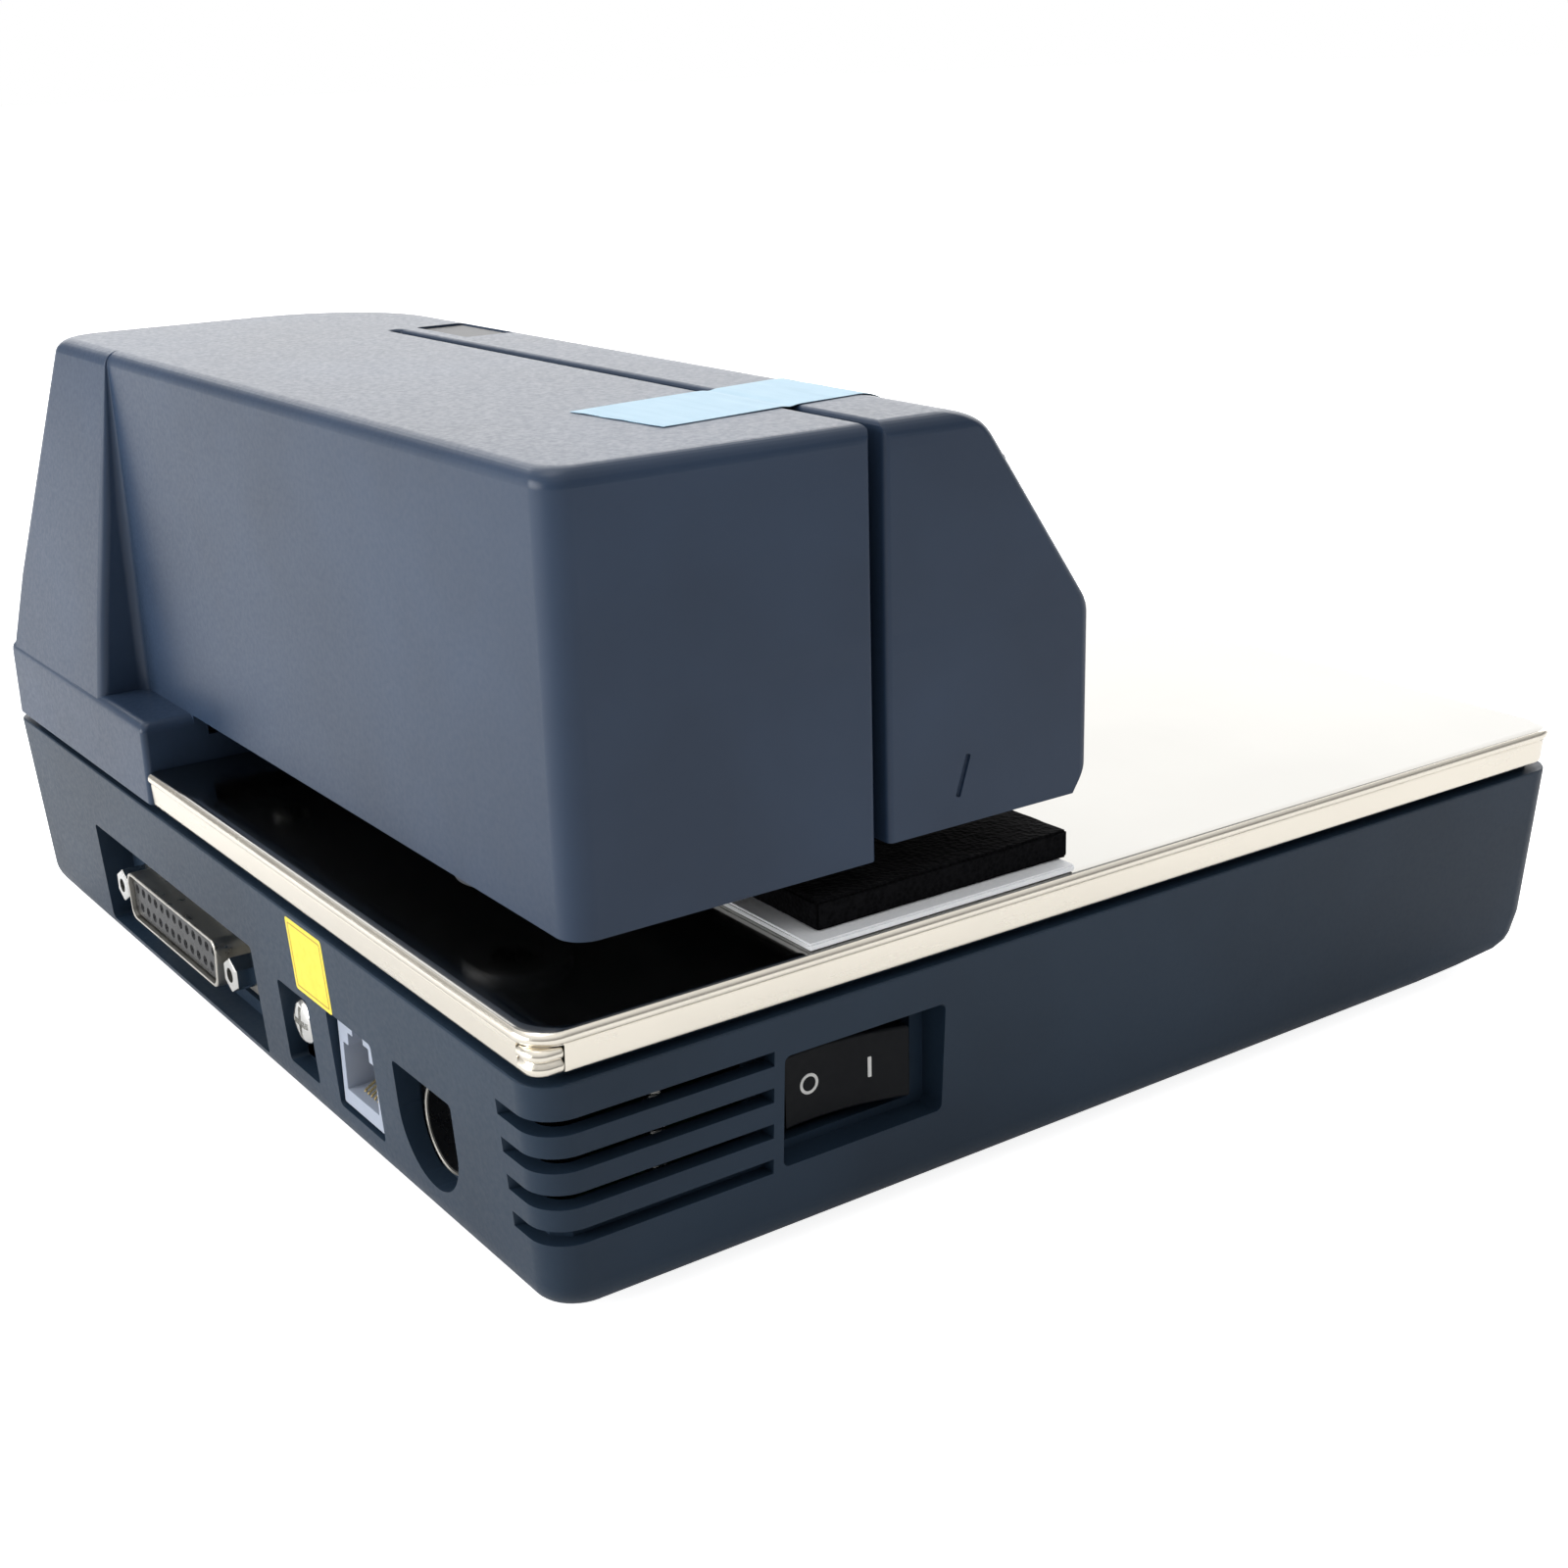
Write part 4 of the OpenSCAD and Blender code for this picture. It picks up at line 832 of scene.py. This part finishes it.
def console_rings(t=0.0):
    r, e = 5 - t, 1.6
    levels = [(SKIRT_Z, 0.3), (SKIRT_Z + 0.3, 0.0), (42.0, 0.0)]
    levels += [(ARM_Z - e + e * math.sin(a), e * (1 - math.cos(a)))
               for a in [math.pi / 2 * k / 6 for k in range(7)]]
    rings = []
    for z, inset in levels:
        i = inset + t
        outer = r - inset * 0.5
        rings.append(at_height(z, rounded([
            (TABLE_X1 + 0.3 + i, -HALF_D + i, 1.0), (HALF_W - i, -HALF_D + i, outer),
            (HALF_W - i, HALF_D - i, outer), (TABLE_X1 + 0.3 + i, HALF_D - i, 1.0)], 8)))
    return rings


def slot_cutter():
    """The paper slot: straight below, with rounded lips at the top."""
    lip = 0.7
    levels = [(40, 0.0), (TOP_Z - lip, 0.0)]
    levels += [(TOP_Z - lip + lip * math.sin(a), lip * (1 - math.cos(a)))
               for a in [math.pi / 2 * k / 5 for k in range(1, 6)]]
    levels.append((TOP_Z + 2, lip))
    rings = []
    for z, grow in levels:
        h = SLOT_HALF + grow
        end = SLOT_END + grow - h
        outline = [(ARM_X - 19, SLOT_MID - h), (end, SLOT_MID - h)]
        outline += [(end + h * math.sin(a), SLOT_MID - h * math.cos(a))
                    for a in [math.pi * k / 12 for k in range(1, 12)]]
        outline += [(end, SLOT_MID + h), (ARM_X - 19, SLOT_MID + h)]
        rings.append(at_height(z, outline))
    return loft("slot", rings)


def slot_end_lip():
    """Rounds the two vertical lips of the slot on the arm's free end."""
    lip = 0.8
    side = [(ARM_X - 2, SLOT_Y0 - lip)]
    side += [(ARM_X + lip * (1 - math.cos(a)), SLOT_Y0 - lip * (1 - math.sin(a)))
             for a in [math.pi / 2 * k / 5 for k in range(6)]]
    side.append((ARM_X + 2, SLOT_Y0))
    mirrored = [(x, 2 * SLOT_MID - y) for x, y in reversed(side)]
    return prism("lip", "z", side + mirrored, 40, TOP_Z + 2)


def hollow_case(case, levels):
    """Hollows the arm and the console, leaving the slot's walls and the bulkhead at its closed end."""
    ceiling = TOP_Z - WALL - 2.2
    inner_levels = [level for level in levels if level[0] < TOP_Z - WALL - 2.3]
    inner_levels.append((ceiling, 0.0, front_y(ceiling, front_profile())))
    inner = loft("inner", [case_ring(z, i, f, WALL) for z, i, f in inner_levels])
    carve(inner, ((ARM_X - 5, SLOT_Y0 - WALL, 30), (SLOT_END + WALL, SLOT_Y1 + WALL, 120)),
          ((SLOT_END, -FAR, 30), (SLOT_END + WALL, SLOT_Y1 + WALL + 0.3, 120)),
          ((ARM_X - 5, -FAR, 30), (TABLE_X1 + 2.6, NOSE_Y + 0.1, ARM_Z)))
    cut(case, inner)
    rings = console_rings(WALL)
    cut(case, loft("inner_console", [[(x, y, z) for x, y, _ in rings[k]]
                                     for k, z in ((0, SKIRT_Z - 1), (2, 44.0), (4, ARM_Z - WALL))]))


def open_cover_bay(case):
    """The openings behind the ribbon cover and over the underside plate in front of the slot."""
    top_z = 94.0
    top_y = NOSE_Y + (top_z - SLOPE_Z) * SLOPE_K
    outline = [(-6, 47), (NOSE_Y + 5.2, 47), (NOSE_Y + 5.2, 62), (top_y + 3.4, top_z - 1.2),
               (top_y + 3.0, top_z + 0.4), (top_y - 3.2, top_z + 2.4), (-6, top_z)]
    cut(case, prism("c", "x", outline, ARM_X + WALL, SLOT_END))
    carve(case, ((ARM_X + WALL, NOSE_Y + 4.8, 47), (SLOT_END - 0.2, SLOT_Y0 - WALL, 52)))


def open_slot(case):
    """The slot, the windows in its two walls, and the openings in the bulkhead."""
    front, rear = SLOT_Y0 - WALL - 1, SLOT_Y1 + WALL + 1
    carve(case, ((-78, front, 61.4), (28, SLOT_MID, 76.6)), ((-82, SLOT_MID, 62), (32, rear, 76)))
    for x in (-45, 5):
        carve(case, ((x - 9, front, 50.3), (x + 9, SLOT_MID, 60.5)),
              ((x - 9, SLOT_MID, 49.7), (x + 9, rear, 61.3)))
    carve(case, ((-24, SLOT_MID, 89), (-16, rear, 96)))
    cut(case, slot_cutter(), slot_end_lip())
    x0, x1 = SLOT_END - 1, SLOT_END + WALL + 1
    carve(case, ((x0, 16, 50.2), (x1, 30, 57.8)))
    cut(case, rod("c", "x", (43.35, 55.5), 3, x0, x1), rod("c", "x", (33.55, 55.5), 2, x0, x1))


def build_case():
    levels = case_levels()
    case = loft("upper_case_shell", [case_ring(*level) for level in levels])
    # underside of the arm behind and in front of the slot, and the chamfer under the nose
    carve(case, ((ARM_X - 5, -FAR, 38), (TABLE_X1 + 0.3, FAR, ARM_Z)))
    weld(case, loft("console", console_rings()))
    carve(case, ((ARM_X - 5, -FAR, 40), (TABLE_X1 + 0.28, SLOT_Y1 - 0.05, NOSE_Z)))
    chamfer = [(NOSE_Y - 3, 54), (NOSE_Y - 0.01, 53.8), (NOSE_Y + 3.0, NOSE_Z), (NOSE_Y + 3.0, NOSE_Z - 3),
               (NOSE_Y - 3, NOSE_Z - 3)]
    cut(case, prism("c", "x", chamfer, ARM_X - 5, TABLE_X1 + 0.27))
    hollow_case(case, levels)
    open_cover_bay(case)
    open_slot(case)
    # indicator window, the recess of the keys and their openings
    cut(case, prism("c", "z", rect(18.2, 35.8, 26, 34.4, 0.6), TOP_Z - 6, TOP_Z + 1),
        prism("c", "z", rect(48, 76, -72, -20, 2.0), ARM_Z - 0.6, ARM_Z + 1))
    for y in KEY_YS:
        cut(case, prism("c", "z", around((KEY_X, y), (10.3, 5.8), 0.8), ARM_Z - 5, ARM_Z + 1))
    # slanted catch mark near the free end
    mark = brick("mark", (-0.5, -0.4, -2.8), (0.5, 0.4, 2.8), 0.2)
    slant = Matrix.Rotation(math.radians(18), 4, "X")
    mark.data.transform(Matrix.Translation(Vector((ARM_X, 25.4, 55.6)) * MM) @ slant)
    cut(case, mark)
    soften(case, 0.35, 2)
    finish_piece(case, CASE, replaces=["upper_case"])


# ---- ribbon cover, window and keys ----

def build_cover():
    hinge_r, thick = 1.0, 2.0
    top_y = NOSE_Y + (HINGE_Z - SLOPE_Z) * SLOPE_K
    face = [(y, z) for y, z in front_profile() if z < HINGE_Z]
    outer = [(NOSE_Y + 2.8, NOSE_Z + 0.05), (NOSE_Y + 0.15, 53.3), (NOSE_Y, 54.2)] + face[1:]
    outer.append((top_y, HINGE_Z))
    k = math.sqrt(1 + SLOPE_K ** 2)
    inner = [(top_y + thick * k, HINGE_Z),
             (NOSE_Y + thick, SLOPE_Z - (k - 1) * thick / SLOPE_K), (NOSE_Y + thick, 54.2),
             (NOSE_Y + 4.7, NOSE_Z + 0.95), (NOSE_Y + 4.7, NOSE_Z + 0.05)]
    cover = prism("ribbon_cover_panel", "x", outer + inner, COVER_LO[0] + 1.5, COVER_HI[0] - 1.5)
    # a finger scoop at the middle of the lower edge
    scoop = prism("c", "x", disc_outline(NOSE_Y - 6.5, 57, 7.4, 40), -38, -14, 3.0, 6)
    cut(cover, scoop)
    soften(cover, 0.3, 2)
    pins = rod("pins", "x", (HINGE_Y, HINGE_Z), hinge_r, COVER_LO[0], COVER_HI[0], 0.25, 24)
    ribs = [brick("rib", (x, NOSE_Y + thick - 0.2, 56), (x + 1.6, NOSE_Y + thick + 0.9, 70), 0.2)
            for x in (-70, 18)]
    whole = joined("ribbon_cover_panel", [cover, pins] + ribs)
    finish_piece(whole, CASE, "cover", ["ribbon_cover"])


def build_window():
    lo, hi = mm_box("indicator_window")
    pane = prism("indicator_pane", "z", rect(lo[0], hi[0], lo[1], hi[1], 0.5, 5), lo[2], hi[2], 0.25)
    finish_piece(pane, WINDOW, replaces=["indicator_window"])


def build_key_panel():
    lo, hi = mm_box("key_panel")
    panel = prism("key_surround", "z", rect(lo[0], hi[0], lo[1], hi[1], 1.8, 8), lo[2], hi[2], 0.2)
    for y in KEY_YS:
        cut(panel, prism("c", "z", around((KEY_X, y), (10.4, 5.9), 0.9, 5), lo[2] - 1, hi[2] + 1))
    soften(panel, 0.12, 2)
    finish_piece(panel, DARK, replaces=["key_panel"])


def build_key(name, y, symbol):
    """A key cap with a dished top, its retaining skirt and stem, and a plain printed symbol."""
    lo, hi = mm_box(name)
    cap = prism(name + "_cap", "z", around((KEY_X, y), (10, 5.5), 0.9, 6), ARM_Z - 3.4, hi[2], 0.5, 4)
    dish = [(40.0, KEY_X - 8.6), (40.35, KEY_X - 8.0), (40.35, KEY_X + 8.0), (40.0, KEY_X + 8.6)]
    cut(cap, turned("c", "x", (y, hi[2] + 40), dish, 160))
    skirt = prism("skirt", "z", around((KEY_X, y), (10.9, 6.4), 0.5, 3), ARM_Z - 4, ARM_Z - 2.9, 0.1)
    stem = rod("stem", "z", (KEY_X, y), 2, lo[2], ARM_Z - 3.9, 0.3)
    body = name + "_body"
    finish_piece(joined(name + "_cap", [cap, skirt, stem]), KEY, body, [name])
    mark = prism(name + "_mark", "z", symbol, hi[2] - 0.36, hi[2] - 0.3)
    finish_piece(mark, PRINT_WHITE, body)


def triangle(y, size):
    return [(KEY_X - size, y - 0.6 * size), (KEY_X + size, y - 0.6 * size), (KEY_X, y + 0.9 * size)]


def build_keys():
    y0, y1, y2 = KEY_YS
    build_key("forward_key", y0, [(2 * KEY_X - u, 2 * y0 - v) for u, v in triangle(y0, 1.5)])
    build_key("reverse_key", y1, triangle(y1, 1.5))
    build_key("release_key", y2, around((KEY_X, y2), (1.6, 0.35), 0.2, 3))


# ---- screws and feet ----

def cross_outline(x, y, reach, half):
    """The outline of a cross recess."""
    return [(x - reach, y - half), (x - half, y - half), (x - half, y - reach), (x + half, y - reach),
            (x + half, y - half), (x + reach, y - half), (x + reach, y + half), (x + half, y + half),
            (x + half, y + reach), (x - half, y + reach), (x - half, y + half), (x - reach, y + half)]


def screw(x, y, z, length, head_r=2.8):
    """A pan-head screw pointing up, with a cross recess and a threaded shank."""
    profile = [(head_r - 0.7, z), (head_r - 0.2, z + 0.25), (head_r, z + 0.7), (head_r, z + 1.4),
               (1.5, z + 1.42)]
    pitch = 0.7
    for i in range(int((length - 2.4) / pitch)):
        w = z + 1.9 + i * pitch
        profile += [(1.32, w), (1.5, w + 0.3), (1.5, w + 0.38)]
    profile += [(1.3, z + length - 0.4), (0.9, z + length)]
    piece = turned("screw", "z", (x, y), profile, 28)
    return cut(piece, prism("c", "z", cross_outline(x, y, 1.7, 0.36), z - 1, z + 0.85))


def build_screws():
    base = [screw(x, y, FOOT + 1.8, 31.2) for x in (-SCREW_X, SCREW_X) for y in SCREW_YS]
    finish_piece(joined("case_screws", base), NICKEL, replaces=["base_screws"])
    under = [screw(-60.5, 73.4, ARM_Z - 1.5, 8), screw(12, 73.4, ARM_Z - 1.5, 8),
             screw(-72, 32.2, NOSE_Z - 1.5, 5), screw(22, 32.2, NOSE_Z - 1.5, 5)]
    finish_piece(joined("arm_screws", under), BLACK, replaces=["underside_screws"])


def build_feet():
    profile = [(4.6, 0.35), (5.0, 0.1), (5.6, 0), (6.9, 0), (7.5, 0.15), (7.8, 0.5), (8.0, 1.2), (8.0, FOOT)]
    feet = [turned("foot", "z", (x, y), profile, 48) for x in (-68, 68) for y in (-50, 76)]
    finish_piece(joined("foot_pads", feet), RUBBER, replaces=["rubber_feet"], angle=40)


# ---- transport damper, tape and label ----

def ruffle(obj, size, depth, seed):
    """Small random moves of every vertex, as on soft cut foam."""
    rng = random.Random(seed)
    for v in obj.data.vertices:
        v.co += Vector((rng.uniform(-1, 1), rng.uniform(-1, 1), rng.uniform(-1, 0.3))) * depth * MM
        v.co.z += math.sin(v.co.x / MM / size) * math.cos(v.co.y / MM / size) * depth * 0.5 * MM


def fine_block(name, lo, hi, step, edge):
    """A block with a fine grid of faces on every side and softened edges."""
    bm = bmesh.new()
    bmesh.ops.create_cube(bm, size=1)
    for v in bm.verts:
        for i in range(3):
            v.co[i] = lerp(lo[i], hi[i], v.co[i] + 0.5) * MM
    bmesh.ops.bevel(bm, geom=bm.edges[:], offset=edge * MM, segments=2, affect="EDGES")
    for axis in (0, 1):
        count = int((hi[axis] - lo[axis]) / step)
        for k in range(1, count):
            at = lerp(lo[axis], hi[axis], k / count) * MM
            normal = Vector([1.0 if i == axis else 0.0 for i in range(3)])
            everything = bm.verts[:] + bm.edges[:] + bm.faces[:]
            bmesh.ops.bisect_plane(bm, geom=everything, plane_co=normal * at, plane_no=normal)
    return linked(name, bpy.data.meshes.new(name), bm)


def build_damper():
    lo, hi = mm_box("damper_foam")
    foam = fine_block("transport_foam", lo, hi, 1.4, 0.35)
    ruffle(foam, 3.5, 0.07, 7)
    finish_piece(foam, FOAM, "transport_damper", ["damper_foam"], 60)
    lo, hi = mm_box("damper_sheet")
    sheet = fine_block("transport_sheet", lo, hi, 2.4, 0.25)
    for v in sheet.data.vertices:
        x, y = v.co.x / MM, v.co.y / MM
        v.co.z += (0.03 * math.sin(x / 6) * math.cos(y / 5)) * MM
    finish_piece(sheet, SHEET, "transport_damper", ["damper_sheet"], 60)


def build_tape():
    """A strip of film over the slot, which bends over the front edge of the arm."""
    profile = front_profile()
    run = [(y, z) for y, z in profile if z > 97.2] + [(62.0, TOP_Z)]
    lengths = [0.0]
    for (y0, z0), (y1, z1) in zip(run, run[1:]):
        lengths.append(lengths[-1] + math.hypot(y1 - y0, z1 - z0))

    def along(s):
        for i in range(len(run) - 1):
            if s <= lengths[i + 1]:
                t = (s - lengths[i]) / (lengths[i + 1] - lengths[i])
                y, z = lerp(run[i][0], run[i + 1][0], t), lerp(run[i][1], run[i + 1][1], t)
                dy, dz = run[i + 1][0] - run[i][0], run[i + 1][1] - run[i][1]
                size = math.hypot(dy, dz)
                return y, z, (-dz / size, dy / size)
        return run[-1][0], run[-1][1], (0.0, 1.0)

    front_at, rear_at, left_x = 23.4, 58.8, -62.95
    rows, columns, width, lean, thick = 96, 14, 18.0, math.tan(math.radians(7)), 0.07
    total = lengths[-1] - (62.0 - rear_at)
    rng = random.Random(11)
    ragged = [rng.uniform(-0.12, 0.12) for _ in range(columns + 1)]
    top, low = [], []
    for i in range(rows + 1):
        for j in range(columns + 1):
            s = total * i / rows
            if i == 0 or i == rows:
                s += ragged[j]
            across = (j / columns - 0.5) * width
            s2 = max(0.0, s + across * lean * (i / rows))
            y, z, normal = along(s2)
            x = left_x - lean * (y - front_at) + across
            lift = 0.05 + 0.035 * (1 + math.sin(0.9 * across + 0.25 * y)) * 0.5
            lift -= 0.16 * math.exp(-((y - SLOT_MID) / 0.8) ** 2)
            for store, extra in ((top, thick), (low, 0.0)):
                store.append((x, y + normal[0] * (lift + extra), z + normal[1] * (lift + extra)))
    n = columns + 1
    size = len(top)
    faces = []
    for i in range(rows):
        for j in range(columns):
            a = i * n + j
            faces.append((a, a + 1, a + n + 1, a + n))
            faces.append((size + a, size + a + n, size + a + n + 1, size + a + 1))
    border = list(range(n)) + [i * n + n - 1 for i in range(1, rows + 1)]
    border += [rows * n + j for j in range(n - 2, -1, -1)] + [i * n for i in range(rows - 1, 0, -1)]
    for k, a in enumerate(border):
        b = border[(k + 1) % len(border)]
        faces.append((a, b, size + b, size + a))
    tape = mesh_object("slot_tape", top + low, faces)
    finish_piece(tape, TAPE, replaces=["shipping_tape"], angle=60)


def build_label():
    """The label and its border, laid on the leaning rear wall."""
    lean = math.atan(1.7 / (RIM_Z - FOOT - 5.2))
    turn = Matrix.Translation(Vector((0, HALF_D, RIM_Z - 0.2)) * MM) @ Matrix.Rotation(-lean, 4, "X")

    def lay(piece):
        piece.data.transform(turn)
        return piece

    stock = lay(prism("yellow_label", "y", rect(-37.3, -25.5, -11.4, -0.5, 0.5, 5), -0.2, 0.02, 0.03))
    finish_piece(stock, LABEL, replaces=["caution_label"])
    rim = prism("label_border", "y", rect(-36.7, -26.1, -10.8, -1.1, 0.3, 4), 0.015, 0.035)
    cut(rim, prism("c", "y", rect(-36.45, -26.35, -10.55, -1.35, 0.2, 4), -0.5, 0.5))
    finish_piece(lay(rim), LABEL_INK)


# ---- connectors ----

DSUB_X, DSUB_Z, DSUB_Y = 25.5, 14.1, 84.0
POST_GAP = 47.04
CONTACT_GAP = 2.76


def dsub_outline(t):
    """The D shape of the port, moved inward by t."""
    low, high, half, r = 18.6 - t, 19.5 - t, 3.95 - t, 1.7
    return rounded([(DSUB_X - low, DSUB_Z - half, r), (DSUB_X + low, DSUB_Z - half, r),
                    (DSUB_X + high, DSUB_Z + half, r), (DSUB_X - high, DSUB_Z + half, r)], 7)


def build_dsub():
    centre = (DSUB_X, DSUB_Z)
    plate = prism("dsub_metal_shell", "y", around(centre, (26.5, 6.2), 1.0, 5),
                  DSUB_Y - 1.2, DSUB_Y - 0.25, 0.15)
    weld(plate, prism("w", "y", dsub_outline(0), DSUB_Y - 0.6, 89.6, 0.22, 3))
    weld(plate, prism("w", "y", around(centre, (20.5, 5.4), 0.6, 4), DSUB_Y - 9, DSUB_Y - 1))
    cut(plate, prism("c", "y", dsub_outline(0.45), DSUB_Y - 6, 92))
    for sx in (-1, 1):
        cut(plate, rod("c", "y", (DSUB_X + sx * POST_GAP / 2, DSUB_Z), 1.6, 80, 90))
    soften(plate, 0.12, 2)
    finish_piece(plate, TIN, replaces=["dsub_shell"])

    insert = prism("dsub_contact_block", "y", dsub_outline(0.62), DSUB_Y - 5.8, 88.9, 0.25, 3)
    bore = [(0.55, 84), (0.55, 88.55), (0.85, 88.95), (0.85, 90)]
    holes = []
    for count, z in ((13, 1.42), (12, -1.42)):
        for i in range(count):
            x = DSUB_X + (i - (count - 1) / 2) * CONTACT_GAP
            holes.append(turned("c", "y", (x, DSUB_Z + z), bore, 14))
    cut(insert, joined("c", holes))
    finish_piece(insert, BLACK, replaces=["dsub_insert"])

    posts = []
    for sx in (-1, 1):
        x = DSUB_X + sx * POST_GAP / 2
        hexagon = [(x + 2.75 * math.cos(a), DSUB_Z + 2.75 * math.sin(a))
                   for a in [math.pi / 6 + math.pi / 3 * k for k in range(6)]]
        post = prism("post", "y", hexagon, DSUB_Y - 0.2, 89.2, 0.35, 3)
        cut(post, rod("c", "y", (x, DSUB_Z), 1.15, DSUB_Y + 0.2, 91))
        threads = [(1.4, 78.4)]
        for i in range(9):
            threads += [(1.22, 78.7 + i * 0.5), (1.4, 78.95 + i * 0.5)]
        threads.append((1.4, DSUB_Y - 0.1))
        posts += [post, turned("shank", "y", (x, DSUB_Z), threads, 24)]
    finish_piece(joined("jack_posts", posts), NICKEL, replaces=["dsub_jack_posts"])


def build_ground_screw():
    x, z, lug, top = -23, 15.4, 85.9, 88.7
    profile = [(1.9, lug - 9.9), (1.9, lug), (4.3, lug + 0.02), (4.4, lug + 0.2), (4.2, lug + 0.45),
               (3.35, lug + 0.5), (3.4, top - 1.3), (3.25, top - 0.7), (2.7, top - 0.25),
               (1.8, top - 0.04), (0.8, top)]
    piece = turned("ground_terminal_screw", "y", (x, z), profile, 36)
    cut(piece, prism("c", "y", cross_outline(x, z, 2.3, 0.45), top - 0.8, top + 2))
    soften(piece, 0.06, 1)
    finish_piece(piece, NICKEL, replaces=["ground_screw"])


def build_drawer_jack():
    x, z, y = -41.9, 14.8, 88.3
    jack = prism("modular_jack", "y", around((x, z), (6.3, 6.6), 0.5, 5), y - 17, y, 0.25)
    carve(jack, *[((x - half, y - 12, z + low), (x + half, y + 1, z + high))
                  for half, low, high in ((4.9, -4.2, 2.8), (3.2, 0, 4.7), (1.6, 0, 5.6))])
    soften(jack, 0.15, 2)
    finish_piece(jack, PORT, replaces=["drawer_jack"])
    wires = []
    for i in range(6):
        u = x - 2.55 + 1.02 * i
        line = [(y - 1.4, z - 4.1), (y - 1.6, z - 3.8), (y - 6.5, z - 0.8), (y - 10.5, z - 0.1),
                (y - 10.5, z - 0.5), (y - 6.3, z - 1.3), (y - 1.4, z - 4.15)]
        wires.append(prism("wire", "x", line, u - 0.18, u + 0.18))
    finish_piece(joined("jack_wires", wires), BRASS)


def build_power_jack():
    x, z, y = -63.5, 15.1, 86.4
    outline = rect(x - 8.6, x + 8.6, z - 6.9, z + 7.1, 0.8, 5)
    block = prism("power_jack_block", "y", outline, y - 15, y - 0.8, 0.2)
    cut(block, rod("c", "y", (x, z), 6.65, y - 3, y + 1, 0, 48))
    for a in (30, 150, 270):
        u, v = x + 3.1 * math.cos(math.radians(a)), z + 3.1 * math.sin(math.radians(a))
        cut(block, rod("c", "y", (u, v), 1.1, y - 13, y + 1, 0, 20))
    soften(block, 0.1, 2)
    finish_piece(block, BLACK, replaces=["power_jack_housing"])
    lip = [(6.6, y - 3), (6.6, y - 0.8), (6.32, y - 0.25), (6.26, y), (6.12, y), (6.0, y - 0.15)]
    ring = turned("power_jack_sleeve", "y", (x, z), lip, 64)
    cut(ring, rod("c", "y", (x, z), 6.0, y - 4, y + 1, 0, 64))
    finish_piece(ring, TIN, replaces=["power_jack_ring"])
    liner = rod("power_jack_liner", "y", (x, z), 6.02, y - 3.1, y - 0.3, 0, 64)
    cut(liner, rod("c", "y", (x, z), 5.86, y - 4, y + 1, 0, 64))
    finish_piece(liner, BLACK)


# ---- power switch ----

def build_switch():
    floor_x, y, z = -90.0, 44.0, 20.05
    centre = (y, z)
    bezel = prism("switch_bezel", "x", around(centre, (11.4, 6.9), 0.9, 6), floor_x - 1.4, floor_x, 0.35)
    weld(bezel, prism("w", "x", around(centre, (10.2, 6.2), 0.5, 4), floor_x - 0.1, floor_x + 15))
    cut(bezel, prism("c", "x", around(centre, (9.4, 5.4), 0.5, 4), floor_x - 4, floor_x + 9),
        prism("c", "x", around(centre, (9.8, 5.8), 0.7, 4), floor_x - 4, floor_x - 1.0))
    for u in (y - 6, y, y + 6):
        weld(bezel, brick("w", (floor_x + 14, u - 0.4, z - 2.4), (floor_x + 22, u + 0.4, z + 2.4), 0.1))
    soften(bezel, 0.1, 1)
    finish_piece(bezel, SWITCH, replaces=["power_switch_frame"])

    half = 8.9

    def face_x(v):
        """The rocker's face bows outward from its middle to its two ends."""
        return -3.1 - (v / half) ** 2

    turn = Matrix.Translation(Vector((-87.4, y, z)) * MM) @ Matrix.Rotation(math.radians(-7), 4, "Z")
    face = [(face_x(v), v) for v in [half * (k / 10 - 1) for k in range(21)]]
    back = [(-1.2, 8.6), (1.6, 3), (1.6, -3), (-1.2, -8.6)]
    rocker = prism("switch_rocker", "z", face + back, -5, 5, 0.45, 3)
    weld(rocker, rod("w", "z", (0, 0), 1.0, -6.1, 6.1, 0.15, 24))
    rocker.data.transform(turn)
    finish_piece(rocker, SWITCH, "rocker", ["power_switch_rocker"])

    ring = prism("off_mark", "x", disc_outline(0, 0, 1.4, 32), -0.05, 0.12)
    cut(ring, rod("c", "x", (0, 0), 1.0, -1, 1, 0, 32))
    bar = prism("on_mark", "x", rect(-0.25, 0.25, -1.4, 1.4, 0.1, 2), -0.05, 0.12)
    for mark, v in ((ring, 5.2), (bar, -3.6)):
        lie = Matrix.Rotation(math.atan(2 * v / half ** 2), 4, "Z")
        mark.data.transform(turn @ Matrix.Translation(Vector((face_x(v), v, 0.2)) * MM) @ lie)
        finish_piece(mark, PRINT_WHITE, "rocker")


def build_option_cover():
    lo, hi = mm_box("dip_switch_cover")
    lid = prism("option_switch_lid", "z", rect(lo[0], hi[0], lo[1], hi[1], 1.0, 5), lo[2], lo[2] + 1.6, 0.2)
    weld(lid, brick("w", (30, -31, lo[2] + 1.5), (60, -29.6, hi[2]), 0.2))
    for i in range(4):
        groove = rect(40, 50, -26 + i * 2.4, -24.9 + i * 2.4, 0.4, 3)
        cut(lid, prism("c", "z", groove, lo[2] - 1, lo[2] + 0.5))
    finish_piece(lid, HOUSING, replaces=["dip_switch_cover"])


def main():
    add_camera()
    add_world()
    add_floor()
    add_lights()
    dress_cad_nodes()
    build_housing()
    build_table()
    build_corner_piece()
    build_case()
    build_cover()
    build_window()
    build_key_panel()
    build_keys()
    build_screws()
    build_feet()
    build_damper()
    build_tape()
    build_label()
    build_dsub()
    build_ground_screw()
    build_drawer_jack()
    build_power_jack()
    build_switch()
    build_option_cover()


main()
